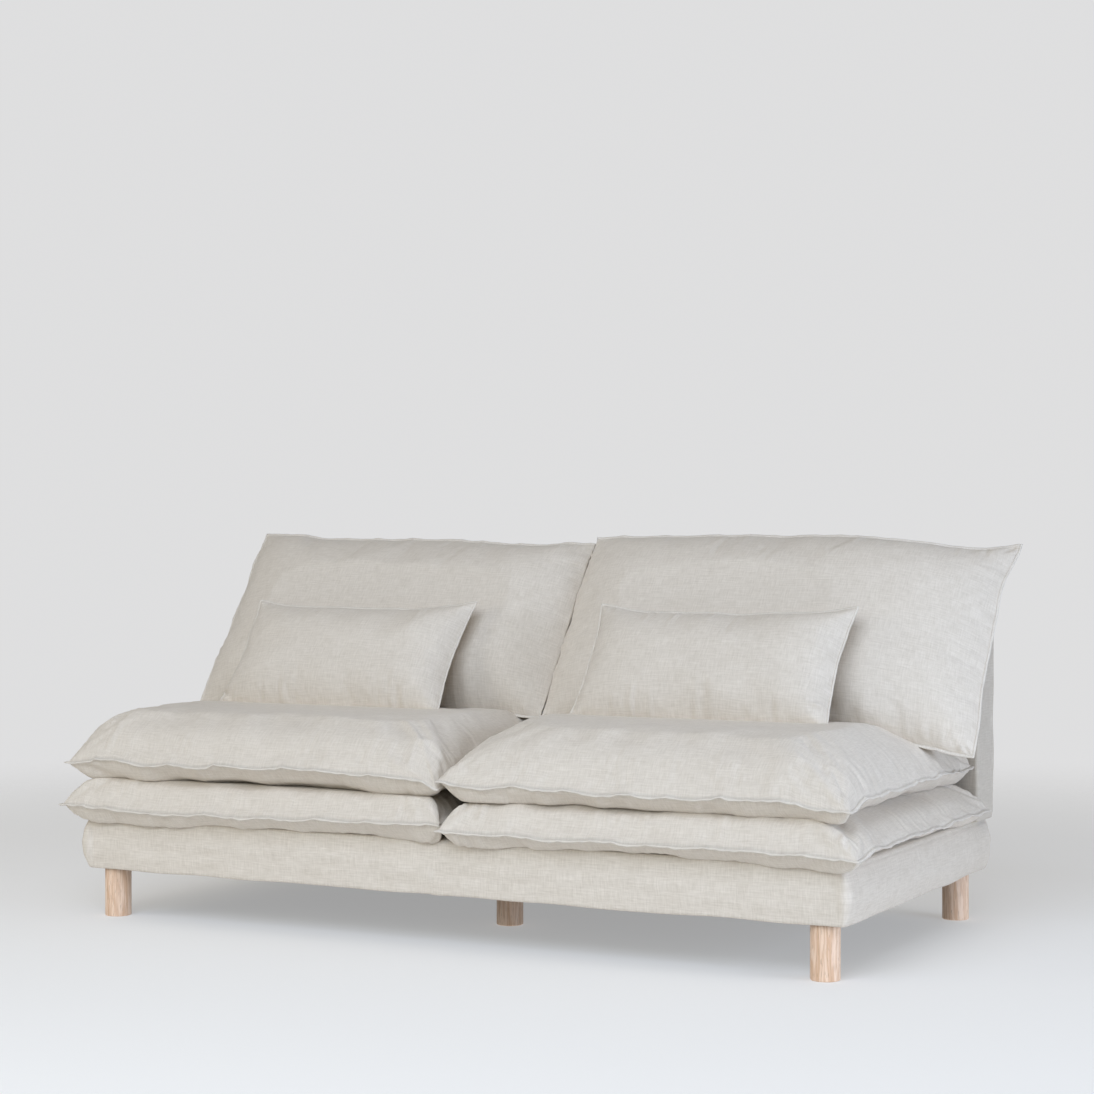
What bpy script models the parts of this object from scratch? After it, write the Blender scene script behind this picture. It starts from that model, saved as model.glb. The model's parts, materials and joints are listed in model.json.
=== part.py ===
"""A two-seat slip-covered sofa on five round wooden legs, modelled piece by piece.

Metres, +Z up. The origin is on the floor under the middle of the sofa, +X is the sitter's left (the
right-hand end seen from the front), -Y is the front and +Y the back.

The base is a timber frame with a plywood deck, a back frame that stands on the deck, and loose covers.
On it lie two thin lower pads, two seat cushions, two raked back cushions and two lumbar cushions. Each of
those is a sewn cover round an insert, closed by a zip in one straight seam: the rear seam of the flat
cushions, and the bottom seam of the raked ones.
"""

import math
from dataclasses import dataclass

import bmesh
import bpy
from mathutils import Matrix, Vector

# Clearances
GAP = 0.0005  # between neighbouring pieces that touch on the real sofa
RUN_GAP = 0.0005  # between a zip's slider and its chain
BOLT_FIT = 0.0004  # round a leg's bolt in its hole
REST_GAP = 0.004  # between a cushion's slider and what the cushion lies against
LEAN_GAP = 0.006  # between a back cushion and the back panel it leans on
LUMBAR_GAP = 0.001  # between a lumbar cushion and the back cushion behind it

# Base
BASE_WIDTH = 1.834
BASE_DEPTH = 0.9375
BASE_BOTTOM = 0.1125  # hem of the base cover above the floor
BASE_HEIGHT = 0.1165
COVER_WALL = 0.003
COVER_CORNER = 0.022  # radius of the covers' upright corners
RAIL_THICKNESS = 0.025
DECK_THICKNESS = 0.0135
DUST_THICKNESS = 0.0012
CENTRE_RAIL_WIDTH = 0.07

# Legs
LEG_DIAMETER = 0.060
LEG_CHAMFER = 0.003
LEG_HOLE_SLACK = 0.002  # round a leg where it passes the dust cover
CENTRE_LEG_BACK = 0.34  # from the base's front face to the middle leg
BOLT_DIAMETER = 0.008
BOLT_LENGTH = 0.08
BOLT_END_SLACK = 0.003  # left at each end of a bolt's two holes
BLOCK_SIZE = 0.070
BOLT_FROM_SIDE_RAIL = 0.023
BOLT_FROM_FRONT_RAIL = 0.0115
BOLT_FROM_REAR_RAIL = 0.031

# Back panel
PANEL_HEIGHT = 0.55
PANEL_DEPTH = 0.1175
PANEL_SIDE_PROUD = 0.018  # past each end of the base
PANEL_PAD = 0.036
PANEL_BOARD = 0.009
POST_WIDTH = 0.045
TOP_RAIL_HEIGHT = 0.045

# Flat cushions: the seam is their widest line, and the two sheets swell above and below it
MIDDLE_GAP = 0.006  # between the left and the right cushion of a pair
PAD_FRONT_OVERHANG = 0.0575
PAD_SIDE_OVERHANG = 0.053
PAD_BELOW_SEAM = 0.030
PAD_ABOVE_SEAM = 0.0605
SEAT_FRONT_SETBACK = 0.0025  # behind the lower pads' front edge
SEAT_SIDE_OVERHANG = 0.038
SEAT_BELOW_SEAM = 0.038
SEAT_ABOVE_SEAM = 0.0925

# Raked cushions
RAKE = math.radians(35)  # from the upright
BACK_CUSHION_HEIGHT = 0.50
BACK_CUSHION_OVERHANG = 0.063
BACK_MIDDLE_GAP = 0.010
BACK_FRONT_SWELL = 0.085
BACK_REAR_SWELL = 0.115
LUMBAR_WIDTH = 0.615
LUMBAR_HEIGHT = 0.30
LUMBAR_OFF_MIDDLE = 0.4725
LUMBAR_FRONT_SWELL = 0.056
LUMBAR_REAR_SWELL = 0.050

# Cushion covers and their zips
SEAM_HALF_THICKNESS = 0.005
CUSHION_WALL = 0.0025
INSERT_FIT = 0.0005
FLAT_ZIP_MARGIN = 0.06  # of plain seam at each end of a flat cushion's zip
BACK_ZIP_MARGIN = 0.22  # and of a back cushion's, whose lower corners hang
LUMBAR_ZIP_MARGIN = 0.13
CHAIN_HALF_HEIGHT = 0.0012
CHAIN_PROUD = 0.0015
SLIDER_LENGTH = 0.034
SLIDER_BODY = 0.010
SLIDER_DEPTH = 0.004
SLIDER_HEIGHT = 0.006
PULL_THICKNESS = 0.0012

LEG_SIDES = 32
BOLT_SIDES = 12
CORNER_STEPS = 4
FLAT_COLUMNS = 8
FLAT_ROWS = 6
LUMBAR_COLUMNS = 6
LUMBAR_ROWS = 6

# Worked out from the sizes above
HALF_DEPTH = (BASE_DEPTH + PAD_FRONT_OVERHANG) / 2
BASE_HALF = BASE_WIDTH / 2
BASE_FRONT = -HALF_DEPTH + PAD_FRONT_OVERHANG
BASE_REAR = HALF_DEPTH
BASE_TOP = BASE_BOTTOM + BASE_HEIGHT
SKIN = COVER_WALL + GAP
FRAME_HALF = BASE_HALF - SKIN
FRAME_FRONT = BASE_FRONT + SKIN
FRAME_REAR = BASE_REAR - SKIN
FRAME_CHAMFER = COVER_CORNER - COVER_WALL
DUST_BOTTOM = BASE_BOTTOM + GAP
FRAME_BOTTOM = DUST_BOTTOM + DUST_THICKNESS + GAP
DECK_TOP = BASE_TOP - SKIN
RAIL_TOP = DECK_TOP - DECK_THICKNESS - GAP
LEG_TOP = FRAME_BOTTOM - GAP
PANEL_HALF = BASE_HALF + PANEL_SIDE_PROUD
PANEL_FRONT = BASE_REAR - PANEL_DEPTH
PANEL_BOTTOM = BASE_TOP + GAP
PANEL_TOP = BASE_TOP + PANEL_HEIGHT
ZIP_ROOM = CHAIN_PROUD + RUN_GAP + SLIDER_DEPTH + REST_GAP


# Materials


def material(name, colour, roughness, metallic=0.0):
    """A Principled material of one plain colour."""
    made = bpy.data.materials.new(name)
    made.use_nodes = True
    shader = made.node_tree.nodes["Principled BSDF"]
    shader.inputs["Base Color"].default_value = (*colour, 1.0)
    shader.inputs["Roughness"].default_value = roughness
    shader.inputs["Metallic"].default_value = metallic
    made.diffuse_color = (*colour, 1.0)
    return made


def make_materials():
    """The sofa's finishes by name."""
    return {
        "linen": material("linen", (0.60, 0.57, 0.52), 0.9),
        "leg_wood": material("leg_wood", (0.64, 0.47, 0.34), 0.5),
        "frame_timber": material("frame_timber", (0.55, 0.40, 0.25), 0.7),
        "plywood": material("plywood", (0.60, 0.45, 0.29), 0.7),
        "foam": material("foam", (0.80, 0.76, 0.62), 0.95),
        "feather_ticking": material("feather_ticking", (0.78, 0.77, 0.74), 0.9),
        "dust_cloth": material("dust_cloth", (0.05, 0.05, 0.05), 0.95),
        "zip_tape": material("zip_tape", (0.50, 0.46, 0.40), 0.6),
        "zip_metal": material("zip_metal", (0.45, 0.40, 0.32), 0.35, 1.0),
        "steel": material("steel", (0.55, 0.55, 0.56), 0.35, 1.0),
    }


# Shapes


def new_object(name, bm, finish=None, parent=None, location=(0, 0, 0)):
    """Turns a bmesh into an object and frees it. An object without a finish is a cutter."""
    mesh = bpy.data.meshes.new(name)
    bm.to_mesh(mesh)
    bm.free()
    made = bpy.data.objects.new(name, mesh)
    bpy.context.collection.objects.link(made)
    made.location = location
    made.parent = parent
    if finish is None:
        made.hide_render = True
        made.display_type = "WIRE"
    else:
        mesh.materials.append(finish)
    return made


def cut(target, *cutters):
    """Takes each cutter out of the target."""
    for cutter in cutters:
        modifier = target.modifiers.new(cutter.name, "BOOLEAN")
        modifier.operation = "DIFFERENCE"
        modifier.solver = "EXACT"
        modifier.object = cutter


def box(name, low, high, finish=None, parent=None):
    """A rectangular block between two corners, with its origin at its middle."""
    low = Vector(low)
    high = Vector(high)
    bm = bmesh.new()
    bmesh.ops.create_cube(bm, size=1.0, matrix=Matrix.Diagonal((*(high - low), 1.0)))
    return new_object(name, bm, finish, parent, (low + high) / 2)


def prism(name, outline, low, high, finish=None, upright=True):
    """An outline pushed along Z between two levels, or when it isn't upright drawn in X, Z and pushed along Y.

    The outline's points run anticlockwise seen from +Z, or from -Y.
    """
    bm = bmesh.new()
    if upright:
        near = [bm.verts.new((x, y, low)) for x, y in outline]
        far = [bm.verts.new((x, y, high)) for x, y in outline]
    else:
        near = [bm.verts.new((x, high, z)) for x, z in outline]
        far = [bm.verts.new((x, low, z)) for x, z in outline]
    count = len(outline)
    for k in range(count):
        after = (k + 1) % count
        bm.faces.new((near[k], near[after], far[after], far[k]))
    bm.faces.new(reversed(near))
    bm.faces.new(far)
    return new_object(name, bm, finish)


def turned(name, profile, sides, finish=None, location=(0, 0, 0)):
    """A solid turned about Z. The profile's (radius, height) points run up its outside, and may end down a hole."""
    bm = bmesh.new()
    rings = []
    for radius, height in profile:
        angles = [math.tau * k / sides for k in range(sides)]
        rings.append([bm.verts.new((radius * math.cos(a), radius * math.sin(a), height)) for a in angles])
    for lower, upper in zip(rings, rings[1:]):
        for k in range(sides):
            after = (k + 1) % sides
            bm.faces.new((lower[k], lower[after], upper[after], upper[k]))
    bm.faces.new(reversed(rings[0]))
    bm.faces.new(rings[-1])
    made = new_object(name, bm, finish, None, location)
    made.data.shade_smooth()
    made.data.set_sharp_from_angle(angle=math.radians(40))
    return made


def rounded_outline(half_x, low_y, high_y, radius, steps, round_low=True):
    """A rectangle with round corners, anticlockwise. With round_low off, the lower corners stay square."""
    corners = [
        (half_x - radius, high_y - radius, 0),
        (-half_x + radius, high_y - radius, 1),
        (-half_x + radius, low_y + radius, 2),
        (half_x - radius, low_y + radius, 3),
    ]
    points = []
    for x, y, quarter in corners:
        if quarter >= 2 and not round_low:
            points.append((math.copysign(half_x, x), low_y))
            continue
        for step in range(steps + 1):
            angle = (quarter + step / steps) * math.pi / 2
            points.append((x + radius * math.cos(angle), y + radius * math.sin(angle)))
    return points


def bolt_hole(name, x, y, low, depth):
    """A cutter for the upright blind hole that a leg's bolt goes up into."""
    radius = BOLT_DIAMETER / 2 + BOLT_FIT
    profile = [(radius, low - BOLT_DIAMETER), (radius, low + depth)]
    return turned(name, profile, BOLT_SIDES, None, (x, y, 0))


# Legs and base frame


def leg_places():
    """Each leg's name and its axis's X and Y. The corner legs' bolts stand a set way in from the rails."""
    side = FRAME_HALF - RAIL_THICKNESS - GAP - BOLT_FROM_SIDE_RAIL
    front = FRAME_FRONT + RAIL_THICKNESS + GAP + BOLT_FROM_FRONT_RAIL
    rear = FRAME_REAR - RAIL_THICKNESS - GAP - BOLT_FROM_REAR_RAIL
    return {
        "front_left": (-side, front),
        "front_right": (side, front),
        "rear_left": (-side, rear),
        "rear_right": (side, rear),
        "centre": (0.0, BASE_FRONT + CENTRE_LEG_BACK),
    }


def make_legs(finishes):
    """Five dowel legs, each bored from its top for a bolt that is half in the leg, half in the frame."""
    radius = LEG_DIAMETER / 2
    hole = BOLT_DIAMETER / 2 + BOLT_FIT
    hole_depth = BOLT_LENGTH / 2 + BOLT_END_SLACK
    for place, (x, y) in leg_places().items():
        profile = [
            (radius - LEG_CHAMFER, 0.0),
            (radius, LEG_CHAMFER),
            (radius, LEG_TOP),
            (hole, LEG_TOP),
            (hole, LEG_TOP - hole_depth),
        ]
        turned("leg_" + place, profile, LEG_SIDES, finishes["leg_wood"], (x, y, 0))
        tip = BOLT_DIAMETER / 8
        shank = [
            (BOLT_DIAMETER / 2 - tip, -BOLT_LENGTH / 2),
            (BOLT_DIAMETER / 2, -BOLT_LENGTH / 2 + tip),
            (BOLT_DIAMETER / 2, BOLT_LENGTH / 2 - tip),
            (BOLT_DIAMETER / 2 - tip, BOLT_LENGTH / 2),
        ]
        turned("hanger_bolt_" + place, shank, BOLT_SIDES, finishes["steel"], (x, y, LEG_TOP))


def make_corner_blocks(finishes):
    """A block in each corner of the frame, which takes the leg's bolt."""
    hole_depth = BOLT_LENGTH / 2 + BOLT_END_SLACK
    outer_x = FRAME_HALF - RAIL_THICKNESS - GAP
    front_y = FRAME_FRONT + RAIL_THICKNESS + GAP
    rear_y = FRAME_REAR - RAIL_THICKNESS - GAP
    for place, (x, y) in leg_places().items():
        if place == "centre":
            continue
        side = math.copysign(1, x)
        across = sorted((side * outer_x, side * (outer_x - BLOCK_SIZE)))
        in_front = place.startswith("front")
        along = (front_y, front_y + BLOCK_SIZE) if in_front else (rear_y - BLOCK_SIZE, rear_y)
        low = (across[0], along[0], FRAME_BOTTOM)
        high = (across[1], along[1], RAIL_TOP)
        block = box("corner_block_" + place, low, high, finishes["frame_timber"])
        cut(block, bolt_hole("block_hole_" + place, x, y, FRAME_BOTTOM, hole_depth))


def make_rails(finishes):
    """Front and rear rails with chamfered outer corners, side rails between, and a rail over the centre leg."""
    timber = finishes["frame_timber"]
    chamfer = FRAME_CHAMFER
    inner = FRAME_FRONT + RAIL_THICKNESS
    front = [
        (-FRAME_HALF, inner),
        (-FRAME_HALF, FRAME_FRONT + chamfer),
        (-FRAME_HALF + chamfer, FRAME_FRONT),
        (FRAME_HALF - chamfer, FRAME_FRONT),
        (FRAME_HALF, FRAME_FRONT + chamfer),
        (FRAME_HALF, inner),
    ]
    middle = (FRAME_FRONT + FRAME_REAR) / 2
    rear = [(-x, 2 * middle - y) for x, y in front]
    prism("front_rail", front, FRAME_BOTTOM, RAIL_TOP, timber)
    prism("rear_rail", rear, FRAME_BOTTOM, RAIL_TOP, timber)
    low_y = inner + GAP
    high_y = FRAME_REAR - RAIL_THICKNESS - GAP
    for name, side in (("left_rail", -1), ("right_rail", 1)):
        across = sorted((side * FRAME_HALF, side * (FRAME_HALF - RAIL_THICKNESS)))
        box(name, (across[0], low_y, FRAME_BOTTOM), (across[1], high_y, RAIL_TOP), timber)
    half = CENTRE_RAIL_WIDTH / 2
    centre = box("centre_rail", (-half, low_y, FRAME_BOTTOM), (half, high_y, RAIL_TOP), timber)
    x, y = leg_places()["centre"]
    cut(centre, bolt_hole("centre_rail_hole", x, y, FRAME_BOTTOM, BOLT_LENGTH / 2 + BOLT_END_SLACK))


def make_deck(finishes):
    """The plywood deck on the rails, and the dust cover under them, which the legs pass through."""
    outline = rounded_outline(FRAME_HALF, FRAME_FRONT, FRAME_REAR, FRAME_CHAMFER, 1)
    prism("seat_deck", outline, DECK_TOP - DECK_THICKNESS, DECK_TOP, finishes["plywood"])
    dust = prism("dust_cover", outline, DUST_BOTTOM, DUST_BOTTOM + DUST_THICKNESS, finishes["dust_cloth"])
    radius = LEG_DIAMETER / 2 + LEG_HOLE_SLACK
    profile = [(radius, DUST_BOTTOM - GAP), (radius, DUST_BOTTOM + DUST_THICKNESS + GAP)]
    for place, (x, y) in leg_places().items():
        cut(dust, turned("dust_hole_" + place, profile, LEG_SIDES, None, (x, y, 0)))


def post_span():
    """The Y range of the back posts, between the panel's pad and its board."""
    return PANEL_FRONT + SKIN + PANEL_PAD + GAP, BASE_REAR - SKIN - PANEL_BOARD - GAP


def make_base_cover(finishes):
    """The base's loose cover: open below, and on top behind the seat, where the back posts reach the deck."""
    outer = rounded_outline(BASE_HALF, BASE_FRONT, BASE_REAR, COVER_CORNER, CORNER_STEPS)
    inner = rounded_outline(
        BASE_HALF - COVER_WALL, BASE_FRONT + COVER_WALL, BASE_REAR - COVER_WALL, FRAME_CHAMFER, CORNER_STEPS
    )
    cover = prism("base_cover", outer, BASE_BOTTOM, BASE_TOP, finishes["linen"])
    hollow = prism("base_hollow", inner, BASE_BOTTOM - COVER_WALL, BASE_TOP - COVER_WALL)
    front, rear = post_span()
    slot = box(
        "post_slot",
        (-FRAME_HALF, front - GAP, BASE_TOP - 2 * COVER_WALL),
        (FRAME_HALF, rear + GAP, BASE_TOP + COVER_WALL),
    )
    cut(cover, hollow, slot)


# Back panel


def make_back_frame(finishes):
    """Two posts on the deck with a rail across their tops, a board behind and a pad in front."""
    front, rear = post_span()
    inside_top = PANEL_TOP - SKIN
    rail_low = inside_top - TOP_RAIL_HEIGHT
    post_outer = FRAME_HALF - GAP
    for name, side in (("back_post_left", -1), ("back_post_right", 1)):
        across = sorted((side * post_outer, side * (post_outer - POST_WIDTH)))
        low = (across[0], front, DECK_TOP + GAP)
        box(name, low, (across[1], rear, rail_low - GAP), finishes["frame_timber"])
    rail_half = PANEL_HALF - COVER_CORNER
    box("back_top_rail", (-rail_half, front, rail_low), (rail_half, rear, inside_top), finishes["frame_timber"])
    outline = rounded_outline(PANEL_HALF - SKIN, PANEL_BOTTOM, inside_top, FRAME_CHAMFER, 1, round_low=False)
    board_rear = BASE_REAR - SKIN
    prism("back_board", outline, board_rear - PANEL_BOARD, board_rear, finishes["plywood"], upright=False)
    pad_front = PANEL_FRONT + SKIN
    prism("back_pad", outline, pad_front, pad_front + PANEL_PAD, finishes["foam"], upright=False)


def make_back_cover(finishes):
    """The back panel's loose cover, a bag that is open at the bottom."""
    outer = rounded_outline(PANEL_HALF, PANEL_BOTTOM, PANEL_TOP, COVER_CORNER, CORNER_STEPS, round_low=False)
    inner = rounded_outline(
        PANEL_HALF - COVER_WALL,
        PANEL_BOTTOM - COVER_WALL,
        PANEL_TOP - COVER_WALL,
        FRAME_CHAMFER,
        CORNER_STEPS,
        round_low=False,
    )
    cover = prism("back_cover", outer, PANEL_FRONT, BASE_REAR, finishes["linen"], upright=False)
    hollow = prism("back_hollow", inner, PANEL_FRONT + COVER_WALL, BASE_REAR - COVER_WALL, upright=False)
    cut(cover, hollow)


# Cushions


@dataclass(frozen=True)
class Pillow:
    """The outside of a cushion: two crowned sheets that meet in a flat seam round their edge.

    At (u, v), which run from -1 to 1 across the cushion, a sheet stands off the seam's plane by
    rim + (swell - rim) * ((1 - |u|^squareness) * (1 - |v|^squareness))^softness.
    """

    half_x: float
    half_y: float
    rim: float
    above: float
    below: float
    squareness: float
    softness: float

    def inside(self, wall):
        """The same cushion a wall's thickness further in."""
        return Pillow(
            self.half_x - wall,
            self.half_y - wall,
            self.rim - wall,
            self.above - wall,
            self.below - wall,
            self.squareness,
            self.softness,
        )

    def stand_off(self, u, v, swell):
        fall = (1 - abs(u) ** self.squareness) * (1 - abs(v) ** self.squareness)
        return self.rim + (swell - self.rim) * fall**self.softness


def eased(count):
    """Places from -1 to 1 that lie closer together towards the ends, where a cushion curves most."""
    return [math.sin(math.pi / 2 * (2 * k / count - 1)) for k in range(count + 1)]


def pillow_mesh(pillow, columns, rows):
    """A closed mesh of the pillow round the origin, with its seam in the XY plane."""
    bm = bmesh.new()
    sheets = []
    for side, swell in ((1, pillow.above), (-1, pillow.below)):
        sheet = []
        for v in eased(rows):
            line = []
            for u in eased(columns):
                height = side * pillow.stand_off(u, v, swell)
                line.append(bm.verts.new((u * pillow.half_x, v * pillow.half_y, height)))
            sheet.append(line)
        sheets.append(sheet)
    top, bottom = sheets
    for j in range(rows):
        for i in range(columns):
            bm.faces.new((top[j][i], top[j][i + 1], top[j + 1][i + 1], top[j + 1][i]))
            bm.faces.new((bottom[j][i], bottom[j + 1][i], bottom[j + 1][i + 1], bottom[j][i + 1]))
    edge = [(0, i) for i in range(columns)]
    edge += [(j, columns) for j in range(rows)]
    edge += [(rows, i) for i in range(columns, 0, -1)]
    edge += [(j, 0) for j in range(rows, 0, -1)]
    for (j0, i0), (j1, i1) in zip(edge, edge[1:] + edge[:1]):
        bm.faces.new((bottom[j0][i0], bottom[j1][i1], top[j1][i1], top[j0][i0]))
    # The same diagonals on every cushion, so that an insert's facets stay inside those of its cavity.
    bmesh.ops.triangulate(bm, faces=bm.faces, quad_method="FIXED")
    return bm


def make_cushion(name, pillow, frame, zip_side, zip_margin, grid, filling, finishes):
    """A cover with its insert, zip chain and slider, placed by one empty at the middle of the seam's plane.

    zip_side is 1 where the zip is in the seam at +Y of that empty, and -1 where it is in the seam at -Y.
    """
    cover = new_object(name + "_cover", pillow_mesh(pillow, *grid), finishes["linen"], frame)
    cavity = new_object(name + "_cavity", pillow_mesh(pillow.inside(CUSHION_WALL), *grid), None, frame)
    insert_shape = pillow.inside(CUSHION_WALL + INSERT_FIT)
    insert = new_object(name + "_insert", pillow_mesh(insert_shape, *grid), finishes[filling], frame)
    for soft in (cover, cavity, insert):
        soft.data.shade_smooth()

    half_zip = pillow.half_x - zip_margin
    seam = zip_side * pillow.half_y
    inner = seam - zip_side * CUSHION_WALL
    outer = seam + zip_side * CHAIN_PROUD
    deep, shallow = sorted((inner, outer))
    chain_low = (-half_zip, deep, -CHAIN_HALF_HEIGHT)
    box(name + "_zip", chain_low, (half_zip, shallow, CHAIN_HALF_HEIGHT), finishes["zip_tape"], frame)

    cut_deep, cut_shallow = sorted((inner - zip_side * CUSHION_WALL, seam + zip_side * CUSHION_WALL))
    slot = box(
        name + "_zip_slot",
        (-half_zip - GAP, cut_deep, -CHAIN_HALF_HEIGHT - GAP),
        (half_zip + GAP, cut_shallow, CHAIN_HALF_HEIGHT + GAP),
        None,
        frame,
    )
    cut(cover, cavity, slot)
    make_slider(name + "_slider", -half_zip, outer + zip_side * RUN_GAP, zip_side, frame, finishes)


def make_slider(name, start, face, zip_side, frame, finishes):
    """A zip's slider at the closed end of its chain, with its flat pull lying along the chain."""
    far = face + zip_side * SLIDER_DEPTH
    pull = far - zip_side * PULL_THICKNESS
    outline = [
        (start, face),
        (start + SLIDER_BODY, face),
        (start + SLIDER_BODY, pull),
        (start + SLIDER_LENGTH, pull),
        (start + SLIDER_LENGTH, far),
        (start, far),
    ]
    if zip_side < 0:
        outline.reverse()
    slider = prism(name, outline, -SLIDER_HEIGHT / 2, SLIDER_HEIGHT / 2, finishes["zip_metal"])
    slider.parent = frame


def seam_frame(name, location, tilt=0.0):
    """An empty at the middle of a cushion's seam plane, turned back about X by the tilt."""
    empty = bpy.data.objects.new(name, None)
    bpy.context.collection.objects.link(empty)
    empty.location = location
    empty.rotation_euler = (tilt, 0.0, 0.0)
    return empty


def make_flat_pair(name, outer_x, front, bottom, below, above, filling, finishes):
    """A left and a right flat cushion, side by side in front of the back panel. Returns their top's height."""
    inner_x = MIDDLE_GAP / 2
    rear = PANEL_FRONT - ZIP_ROOM
    pillow = Pillow(
        half_x=(outer_x - inner_x) / 2,
        half_y=(rear - front) / 2,
        rim=SEAM_HALF_THICKNESS,
        above=above,
        below=below,
        squareness=6.0,
        softness=0.5,
    )
    for side, sign in (("left", -1), ("right", 1)):
        middle = (sign * (outer_x + inner_x) / 2, (front + rear) / 2, bottom + below)
        frame = seam_frame(name + "_" + side + "_frame", middle)
        grid = (FLAT_COLUMNS, FLAT_ROWS)
        make_cushion(name + "_" + side, pillow, frame, 1, FLAT_ZIP_MARGIN, grid, filling, finishes)
    return bottom + below + above


def raked_direction():
    """Unit steps up the raked cushions' seam plane, and out of its front, as (Y, Z)."""
    return Vector((math.sin(RAKE), math.cos(RAKE))), Vector((-math.cos(RAKE), math.sin(RAKE)))


def place_raked(name, pillow, x, seam_bottom, zip_margin, grid, finishes):
    """A raked cushion whose bottom seam runs along X through the (Y, Z) point seam_bottom."""
    up, _ = raked_direction()
    middle = seam_bottom + up * pillow.half_y
    frame = seam_frame(name + "_frame", (x, *middle), math.pi / 2 - RAKE)
    make_cushion(name, pillow, frame, -1, zip_margin, grid, "feather_ticking", finishes)


def make_raked_cushions(seat_top, finishes):
    """Two back cushions that lean on the panel, and a lumbar cushion in front of each."""
    up, out = raked_direction()
    inner_x = BACK_MIDDLE_GAP / 2
    outer_x = BASE_HALF + BACK_CUSHION_OVERHANG
    back = Pillow(
        half_x=(outer_x - inner_x) / 2,
        half_y=BACK_CUSHION_HEIGHT / 2,
        rim=SEAM_HALF_THICKNESS,
        above=BACK_FRONT_SWELL,
        below=BACK_REAR_SWELL,
        squareness=2.0,
        softness=0.75,
    )
    lumbar = Pillow(
        half_x=LUMBAR_WIDTH / 2,
        half_y=LUMBAR_HEIGHT / 2,
        rim=SEAM_HALF_THICKNESS,
        above=LUMBAR_FRONT_SWELL,
        below=LUMBAR_REAR_SWELL,
        squareness=2.0,
        softness=0.75,
    )
    rows = eased(FLAT_ROWS)
    reach = max((v + 1) * back.half_y * up.x - back.stand_off(0, v, back.below) * out.x for v in rows)
    slider_drop = (ZIP_ROOM - REST_GAP) * up.y + SLIDER_HEIGHT / 2 * out.y
    seam_height = seat_top + slider_drop + REST_GAP
    back_seam = Vector((PANEL_FRONT - LEAN_GAP - reach, seam_height))
    apart = back.above + lumbar.below + LUMBAR_GAP
    down = (apart * out.y) / up.y
    lumbar_seam = back_seam + out * apart - up * down
    for side, sign in (("left", -1), ("right", 1)):
        middle = sign * (outer_x + inner_x) / 2
        grid = (FLAT_COLUMNS, FLAT_ROWS)
        place_raked("back_cushion_" + side, back, middle, back_seam, BACK_ZIP_MARGIN, grid, finishes)
        middle = sign * LUMBAR_OFF_MIDDLE
        grid = (LUMBAR_COLUMNS, LUMBAR_ROWS)
        place_raked("lumbar_cushion_" + side, lumbar, middle, lumbar_seam, LUMBAR_ZIP_MARGIN, grid, finishes)


def main():
    for old in list(bpy.data.objects):
        bpy.data.objects.remove(old)
    finishes = make_materials()
    make_legs(finishes)
    make_corner_blocks(finishes)
    make_rails(finishes)
    make_deck(finishes)
    make_base_cover(finishes)
    make_back_frame(finishes)
    make_back_cover(finishes)
    pad_outer = BASE_HALF + PAD_SIDE_OVERHANG
    pad_bottom = BASE_TOP + GAP
    pad_top = make_flat_pair(
        "lower_pad", pad_outer, -HALF_DEPTH, pad_bottom, PAD_BELOW_SEAM, PAD_ABOVE_SEAM, "foam", finishes
    )
    seat_outer = BASE_HALF + SEAT_SIDE_OVERHANG
    seat_front = -HALF_DEPTH + SEAT_FRONT_SETBACK
    seat_bottom = pad_top + GAP
    seat_top = make_flat_pair(
        "seat_cushion", seat_outer, seat_front, seat_bottom, SEAT_BELOW_SEAM, SEAT_ABOVE_SEAM, "foam", finishes
    )
    make_raked_cushions(seat_top, finishes)


main()
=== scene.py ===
"""Slip-covered linen sofa on wooden legs: its visible surfaces, finishes and studio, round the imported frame."""

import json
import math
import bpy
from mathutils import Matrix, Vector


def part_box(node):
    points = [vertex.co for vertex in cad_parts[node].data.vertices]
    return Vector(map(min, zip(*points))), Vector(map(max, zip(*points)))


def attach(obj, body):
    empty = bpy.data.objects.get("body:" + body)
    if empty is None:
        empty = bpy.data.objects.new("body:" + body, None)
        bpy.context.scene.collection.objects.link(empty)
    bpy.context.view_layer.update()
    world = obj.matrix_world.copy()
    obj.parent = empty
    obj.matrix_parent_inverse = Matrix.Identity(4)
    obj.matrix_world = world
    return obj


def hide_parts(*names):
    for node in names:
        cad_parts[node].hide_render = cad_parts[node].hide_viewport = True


bl_info = {
    "name": "Linen Sofa Looks",
    "version": (1, 0, 0),
    "blender": (4, 5, 0),
    "location": "View3D > Sidebar > Sofa",
    "description": "Builds the sofa's cushions, covers, legs, finishes and studio stage",
    "category": "Object",
}

import bmesh
import bpy
import numpy as np
from bpy.props import FloatProperty, FloatVectorProperty, IntProperty, PointerProperty
from bpy.types import Operator, Panel, PropertyGroup
from mathutils import Euler, Vector

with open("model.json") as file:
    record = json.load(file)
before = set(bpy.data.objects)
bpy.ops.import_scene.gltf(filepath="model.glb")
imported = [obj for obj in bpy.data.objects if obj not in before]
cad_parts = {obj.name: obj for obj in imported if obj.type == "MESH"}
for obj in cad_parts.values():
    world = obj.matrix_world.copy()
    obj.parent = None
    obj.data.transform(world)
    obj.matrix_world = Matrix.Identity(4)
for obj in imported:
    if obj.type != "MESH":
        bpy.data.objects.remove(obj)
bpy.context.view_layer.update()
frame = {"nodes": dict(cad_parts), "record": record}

SIDES = (("left", -1.0), ("right", 1.0))
LEG_PLACES = ("front_left", "front_right", "rear_left", "rear_right", "centre")


# Settings


def length_setting(name, description, default):
    """A setting that is a length in metres."""
    return FloatProperty(name=name, description=description, default=default, unit="LENGTH")


def colour_setting(name, description, default):
    """A setting that is a colour."""
    return FloatVectorProperty(name=name, description=description, subtype="COLOR", default=default)


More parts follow.
